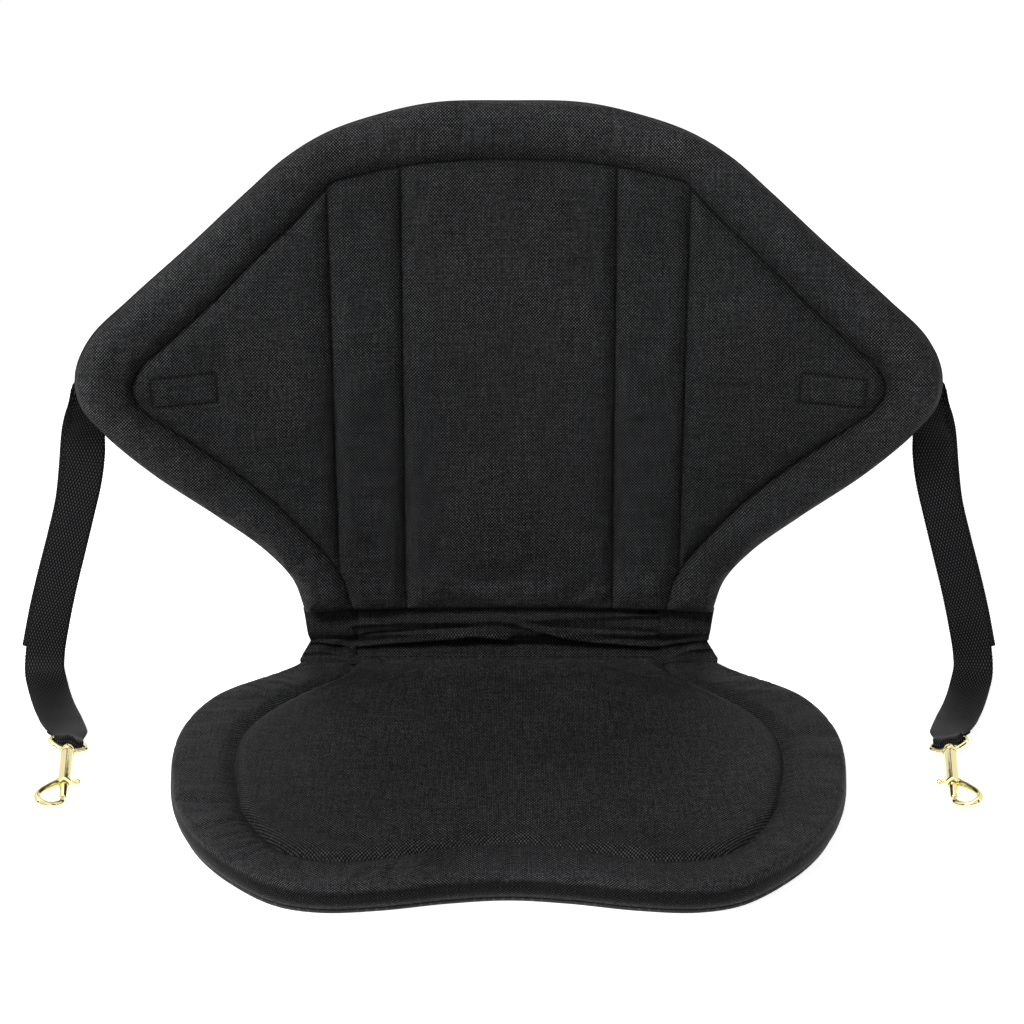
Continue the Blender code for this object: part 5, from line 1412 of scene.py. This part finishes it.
def gold_material():
    """Zinc die casting, polished and plated pale gold: a mirror with faint casting waves."""
    _, colours = settings()
    return grained_material("pale_gold_plated_zinc", colours.gold, {"Metallic": 1.0}, 0.004, 0.04, 0.00008,
                            (0.10, 0.18))


def acetal_material():
    """Injection-moulded acetal: hard black plastic with the mould's fine spark-eroded grain."""
    _, colours = settings()
    return grained_material("moulded_black_acetal", colours.acetal, {"IOR": 1.48}, 0.0004, 0.08, 0.00003,
                            (0.34, 0.46))


def polythene_material():
    """Extruded polythene strip: grey, waxy and faintly streaked."""
    _, colours = settings()
    return grained_material("extruded_grey_polythene", colours.batten, {"IOR": 1.51}, 0.002, 0.10, 0.00005,
                            (0.45, 0.6))


def spring_material():
    """Cold-drawn spring steel wire: bright, with drawing marks too fine to see as lines."""
    _, colours = settings()
    return grained_material("cold_drawn_spring_steel", colours.steel, {"Metallic": 1.0},
                            0.0004, 0.05, 0.00002, (0.24, 0.34))


def underside_material():
    """Oxford cloth with printed soft PVC dots, 5 mm apart, that keep the seat from sliding."""
    _, colours = settings()
    made, tree = new_material("dotted_non_slip_cloth")
    where = (add_node(tree, "ShaderNodeTexCoord"), "Object")
    dots = woven(tree, where, DOT_SPACING, DOT_SPACING)
    dot = add_node(tree, "ShaderNodeMapRange", {"interpolation_type": "SMOOTHSTEP"},
                   {"Value": dots, "From Min": 0.72, "From Max": 0.86})
    threads = woven(tree, where, 2 * YARN_SPACING, YARN_SPACING)
    colour = add_node(tree, "ShaderNodeMixRGB", {}, {"Color1": colours.underside, "Color2": colours.rubber,
                                                     "Fac": dot})
    height = add_node(tree, "ShaderNodeMath", {"operation": "MULTIPLY_ADD"}, {0: threads, 1: 0.15, 2: dot})
    bump = add_node(tree, "ShaderNodeBump", {}, {"Strength": 0.8, "Distance": 0.0005, "Height": height})
    rough = add_node(tree, "ShaderNodeMapRange", {}, {"Value": dot, "To Min": 0.8, "To Max": 0.55})
    shader = add_node(tree, "ShaderNodeBsdfPrincipled", {},
                      {"Base Color": colour, "Roughness": rough, "Normal": bump, "IOR": 1.5})
    add_node(tree, "ShaderNodeOutputMaterial", {}, {"Surface": shader})
    return made


def seen_share(tree):
    """1 for the rays that see the background: the camera's, the mirror's and the clear ones."""
    ray = add_node(tree, "ShaderNodeLightPath")
    other = add_node(tree, "ShaderNodeMath", {"operation": "MAXIMUM"},
                     {0: (ray, "Is Glossy Ray"), 1: (ray, "Is Transmission Ray")})
    return add_node(tree, "ShaderNodeMath", {"operation": "MAXIMUM"}, {0: (ray, "Is Camera Ray"), 1: other})


def facing(place, aim, front):
    """The turn of a thing at a place whose front axis looks at the aim, its Y axis up."""
    return (Vector(aim) - Vector(place)).to_track_quat(front, "Y").to_euler()


def make_stage():
    """A white floor with a faint shadow that also glows onto the seat as painted fill light, soft lamps, dark
    cards that the metal mirrors, and the camera.
    """
    _, colours = settings()
    bpy.ops.mesh.primitive_plane_add(size=FLOOR_SIZE, location=(0, 0, -FLOOR_BELOW))
    floor = bpy.context.object
    floor.name = "floor"
    made, tree = new_material("white_paper_floor")
    diffuse = add_node(tree, "ShaderNodeBsdfDiffuse", {}, {"Color": colours.floor})
    glow = add_node(tree, "ShaderNodeEmission", {}, {"Strength": FLOOR_GLOW})
    # The floor glows onto the seat for the rays that don't see the background: painted fill light from below
    glow_on_seat = add_node(tree, "ShaderNodeEmission", {}, {"Strength": FLOOR_GLOW_ON_SEAT})
    lit = add_node(tree, "ShaderNodeMixShader", {}, {"Fac": seen_share(tree), 1: glow_on_seat, 2: glow})
    both = add_node(tree, "ShaderNodeAddShader", {}, {0: diffuse, 1: lit})
    add_node(tree, "ShaderNodeOutputMaterial", {}, {"Surface": both})
    floor.data.materials.append(made)

    world = bpy.data.worlds.new("studio_sky")
    bpy.context.scene.world = world
    world.use_nodes = True
    tree = world.node_tree
    tree.nodes.clear()
    sky = add_node(tree, "ShaderNodeBackground", {}, {"Color": (1, 1, 1, 1), "Strength": SKY_LEVEL})
    white = add_node(tree, "ShaderNodeBackground", {}, {"Color": (1, 1, 1, 1), "Strength": 1.0})
    mix = add_node(tree, "ShaderNodeMixShader", {}, {"Fac": seen_share(tree), 1: sky, 2: white})
    add_node(tree, "ShaderNodeOutputWorld", {}, {"Surface": mix})

    for name, place, aim, size, power in LAMPS:
        lamp = bpy.data.lights.new(name, "AREA")
        lamp.size = size
        lamp.energy = power
        holder = bpy.data.objects.new(name, lamp)
        holder.location = place
        holder.rotation_euler = facing(place, aim, "-Z")
        bpy.context.scene.collection.objects.link(holder)

    made, tree = new_material("black_flock_card")
    black = add_node(tree, "ShaderNodeBsdfDiffuse", {}, {"Color": colours.card})
    add_node(tree, "ShaderNodeOutputMaterial", {}, {"Surface": black})
    for name, place, aim, size in CARDS:
        bpy.ops.mesh.primitive_plane_add(size=1, location=place)
        card = bpy.context.object
        card.name = name
        card.scale = (*size, 1)
        card.rotation_euler = facing(place, aim, "Z")
        card.visible_camera = card.visible_diffuse = card.visible_shadow = False
        card.data.materials.append(made)

    lens = bpy.data.cameras.new("camera")
    lens.sensor_width = CAMERA_SENSOR
    lens.lens = CAMERA_LENS
    lens.clip_start, lens.clip_end = 0.05, 50
    camera = bpy.data.objects.new("camera", lens)
    camera.location = CAMERA_PLACE
    camera.rotation_euler = facing(CAMERA_PLACE, CAMERA_AIM, "-Z")
    bpy.context.scene.collection.objects.link(camera)
    bpy.context.scene.camera = camera
    bpy.context.scene.view_settings.view_transform = "Standard"


def length(name, description, default, low, high):
    """A size in metres that the sidebar shows."""
    return bpy.props.FloatProperty(name=name, description=description, default=default, min=low, max=high,
                                   unit="LENGTH", precision=5)


def tint(name, description, code):
    """A colour that the sidebar shows, written as sRGB hex."""
    return bpy.props.FloatVectorProperty(name=name, description=description, default=linear(code), size=4,
                                         min=0, max=1, subtype="COLOR")


class KayakSeatSizes(bpy.types.PropertyGroup):
    """Sizes of the weave, the sewing and the stuffing."""

    thread_pitch: length("Yarn spacing", "Between two yarns of the covers' cloth", 0.00096, 0.0004, 0.003)
    dot_pitch: length("Webbing dots", "Between two dots in a row of the webbing", 0.00185, 0.0005, 0.004)
    stitch_pitch: length("Stitch spacing", "From the start of one stitch to the next", 0.0036, 0.001, 0.01)
    stitch_length: length("Stitch length", "Thread that shows in one stitch", 0.0027, 0.0005, 0.008)
    stitch_thickness: length("Thread thickness", "Of the sewing thread", 0.0008, 0.0002, 0.002)
    gather_depth: length("Gathers", "Height of the small waves beside the stitches", 0.00025, 0, 0.003)
    swell_limit: length("Swelling", "The furthest that the stuffing may push the cloth", 0.0018, 0, 0.01)
    slack: bpy.props.FloatProperty(name="Slack", description="Cloth to spare in the covers, as a share",
                                   default=0.012, min=0, max=0.2, subtype="FACTOR")


class KayakSeatColours(bpy.types.PropertyGroup):
    """Colours of the finishes."""

    # Yarn tops and gaps: partly the weave's own look, partly a painted highlight on the tops and painted
    # shade in the gaps
    cloth: tint("Cloth", "Tops of the yarns", "464648")
    cloth_gap: tint("Cloth gaps", "Between the yarns", "050505")
    # Dot tops and gaps of the webbing: partly the weave's own look, partly a painted highlight on the dots
    # and painted shade between them
    webbing: tint("Webbing", "Tops of the dots", "464648")
    webbing_gap: tint("Webbing gaps", "Between the dots", "040405")
    thread: tint("Thread", "Sewing thread", "070708")
    underside: tint("Underside", "Cloth under the seat", "1b1b1d")
    rubber: tint("Rubber dots", "Non-slip dots under the seat", "29292b")
    gold: tint("Hook plating", "Pale gold plate", "efe1ad")
    acetal: tint("Slides", "Moulded plastic", "161617")
    batten: tint("Battens", "Polythene inside the channels", "55565a")
    steel: tint("Springs", "Spring steel", "c3c3c5")
    floor: tint("Floor", "White paper", "f2f2f2")
    card: tint("Cards", "Dark cards that the metal reflects", "0a0805")


class KAYAKSEAT_OT_backrest(bpy.types.Operator):
    """Builds the quilted cover of the backrest."""

    bl_idname = "kayakseat.backrest"
    bl_label = "Build the backrest"

    def execute(self, context):
        make_back()
        return {"FINISHED"}


class KAYAKSEAT_OT_seat(bpy.types.Operator):
    """Builds the cover of the seat pad and the panel under it."""

    bl_idname = "kayakseat.seat"
    bl_label = "Build the seat"

    def execute(self, context):
        make_seat()
        make_underside()
        return {"FINISHED"}


class KAYAKSEAT_OT_web(bpy.types.Operator):
    """Builds the cloth that joins seat and backrest."""

    bl_idname = "kayakseat.web"
    bl_label = "Build the web"

    def execute(self, context):
        make_web()
        return {"FINISHED"}


class KAYAKSEAT_OT_straps(bpy.types.Operator):
    """Builds both straps and their anchors."""

    bl_idname = "kayakseat.straps"
    bl_label = "Build the straps"

    def execute(self, context):
        make_straps()
        return {"FINISHED"}


class KAYAKSEAT_OT_slides(bpy.types.Operator):
    """Builds the plastic slides behind the wings."""

    bl_idname = "kayakseat.slides"
    bl_label = "Build the slides"

    def execute(self, context):
        make_slides()
        return {"FINISHED"}


class KAYAKSEAT_OT_hooks(bpy.types.Operator):
    """Builds the bolt snap hooks."""

    bl_idname = "kayakseat.hooks"
    bl_label = "Build the hooks"

    def execute(self, context):
        make_hooks()
        return {"FINISHED"}


class KAYAKSEAT_OT_stitches(bpy.types.Operator):
    """Lays every visible row of stitches."""

    bl_idname = "kayakseat.stitches"
    bl_label = "Sew the seams"

    def execute(self, context):
        make_stitches()
        return {"FINISHED"}


class KAYAKSEAT_OT_inside(bpy.types.Operator):
    """Gives the hidden battens their material."""

    bl_idname = "kayakseat.inside"
    bl_label = "Finish the inside"

    def execute(self, context):
        finish_inside()
        return {"FINISHED"}


class KAYAKSEAT_OT_stage(bpy.types.Operator):
    """Adds the floor, the lamps and the camera."""

    bl_idname = "kayakseat.stage"
    bl_label = "Set the stage"

    def execute(self, context):
        make_stage()
        return {"FINISHED"}


OPERATORS = (KAYAKSEAT_OT_backrest, KAYAKSEAT_OT_seat, KAYAKSEAT_OT_web, KAYAKSEAT_OT_straps,
             KAYAKSEAT_OT_slides, KAYAKSEAT_OT_hooks, KAYAKSEAT_OT_stitches, KAYAKSEAT_OT_inside,
             KAYAKSEAT_OT_stage)


class KAYAKSEAT_PT_panel(bpy.types.Panel):
    """Lists the sizes, the colours and the steps that build the kayak seat."""

    bl_idname = "KAYAKSEAT_PT_panel"
    bl_label = "Kayak seat"
    bl_space_type = "VIEW_3D"
    bl_region_type = "UI"
    bl_category = "Kayak seat"

    def draw(self, context):
        column = self.layout.column()
        for group in (context.scene.kayak_seat_sizes, context.scene.kayak_seat_colours):
            for name in group.bl_rna.properties.keys():
                if name not in ("name", "rna_type"):
                    column.prop(group, name)
        for step in OPERATORS:
            column.operator(step.bl_idname)


CLASSES = (KayakSeatSizes, KayakSeatColours, *OPERATORS, KAYAKSEAT_PT_panel)


def register():
    """Makes the classes and the two groups of values known."""
    for kind in CLASSES:
        bpy.utils.register_class(kind)
    bpy.types.Scene.kayak_seat_sizes = bpy.props.PointerProperty(type=KayakSeatSizes)
    bpy.types.Scene.kayak_seat_colours = bpy.props.PointerProperty(type=KayakSeatColours)


def unregister():
    """Takes them away again."""
    del bpy.types.Scene.kayak_seat_sizes
    del bpy.types.Scene.kayak_seat_colours
    for kind in reversed(CLASSES):
        bpy.utils.unregister_class(kind)


def main():
    """Runs every step in order."""
    register()
    for step in OPERATORS:
        group, word = step.bl_idname.split(".")
        getattr(getattr(bpy.ops, group), word)()


if __name__ == "__main__":
    main()
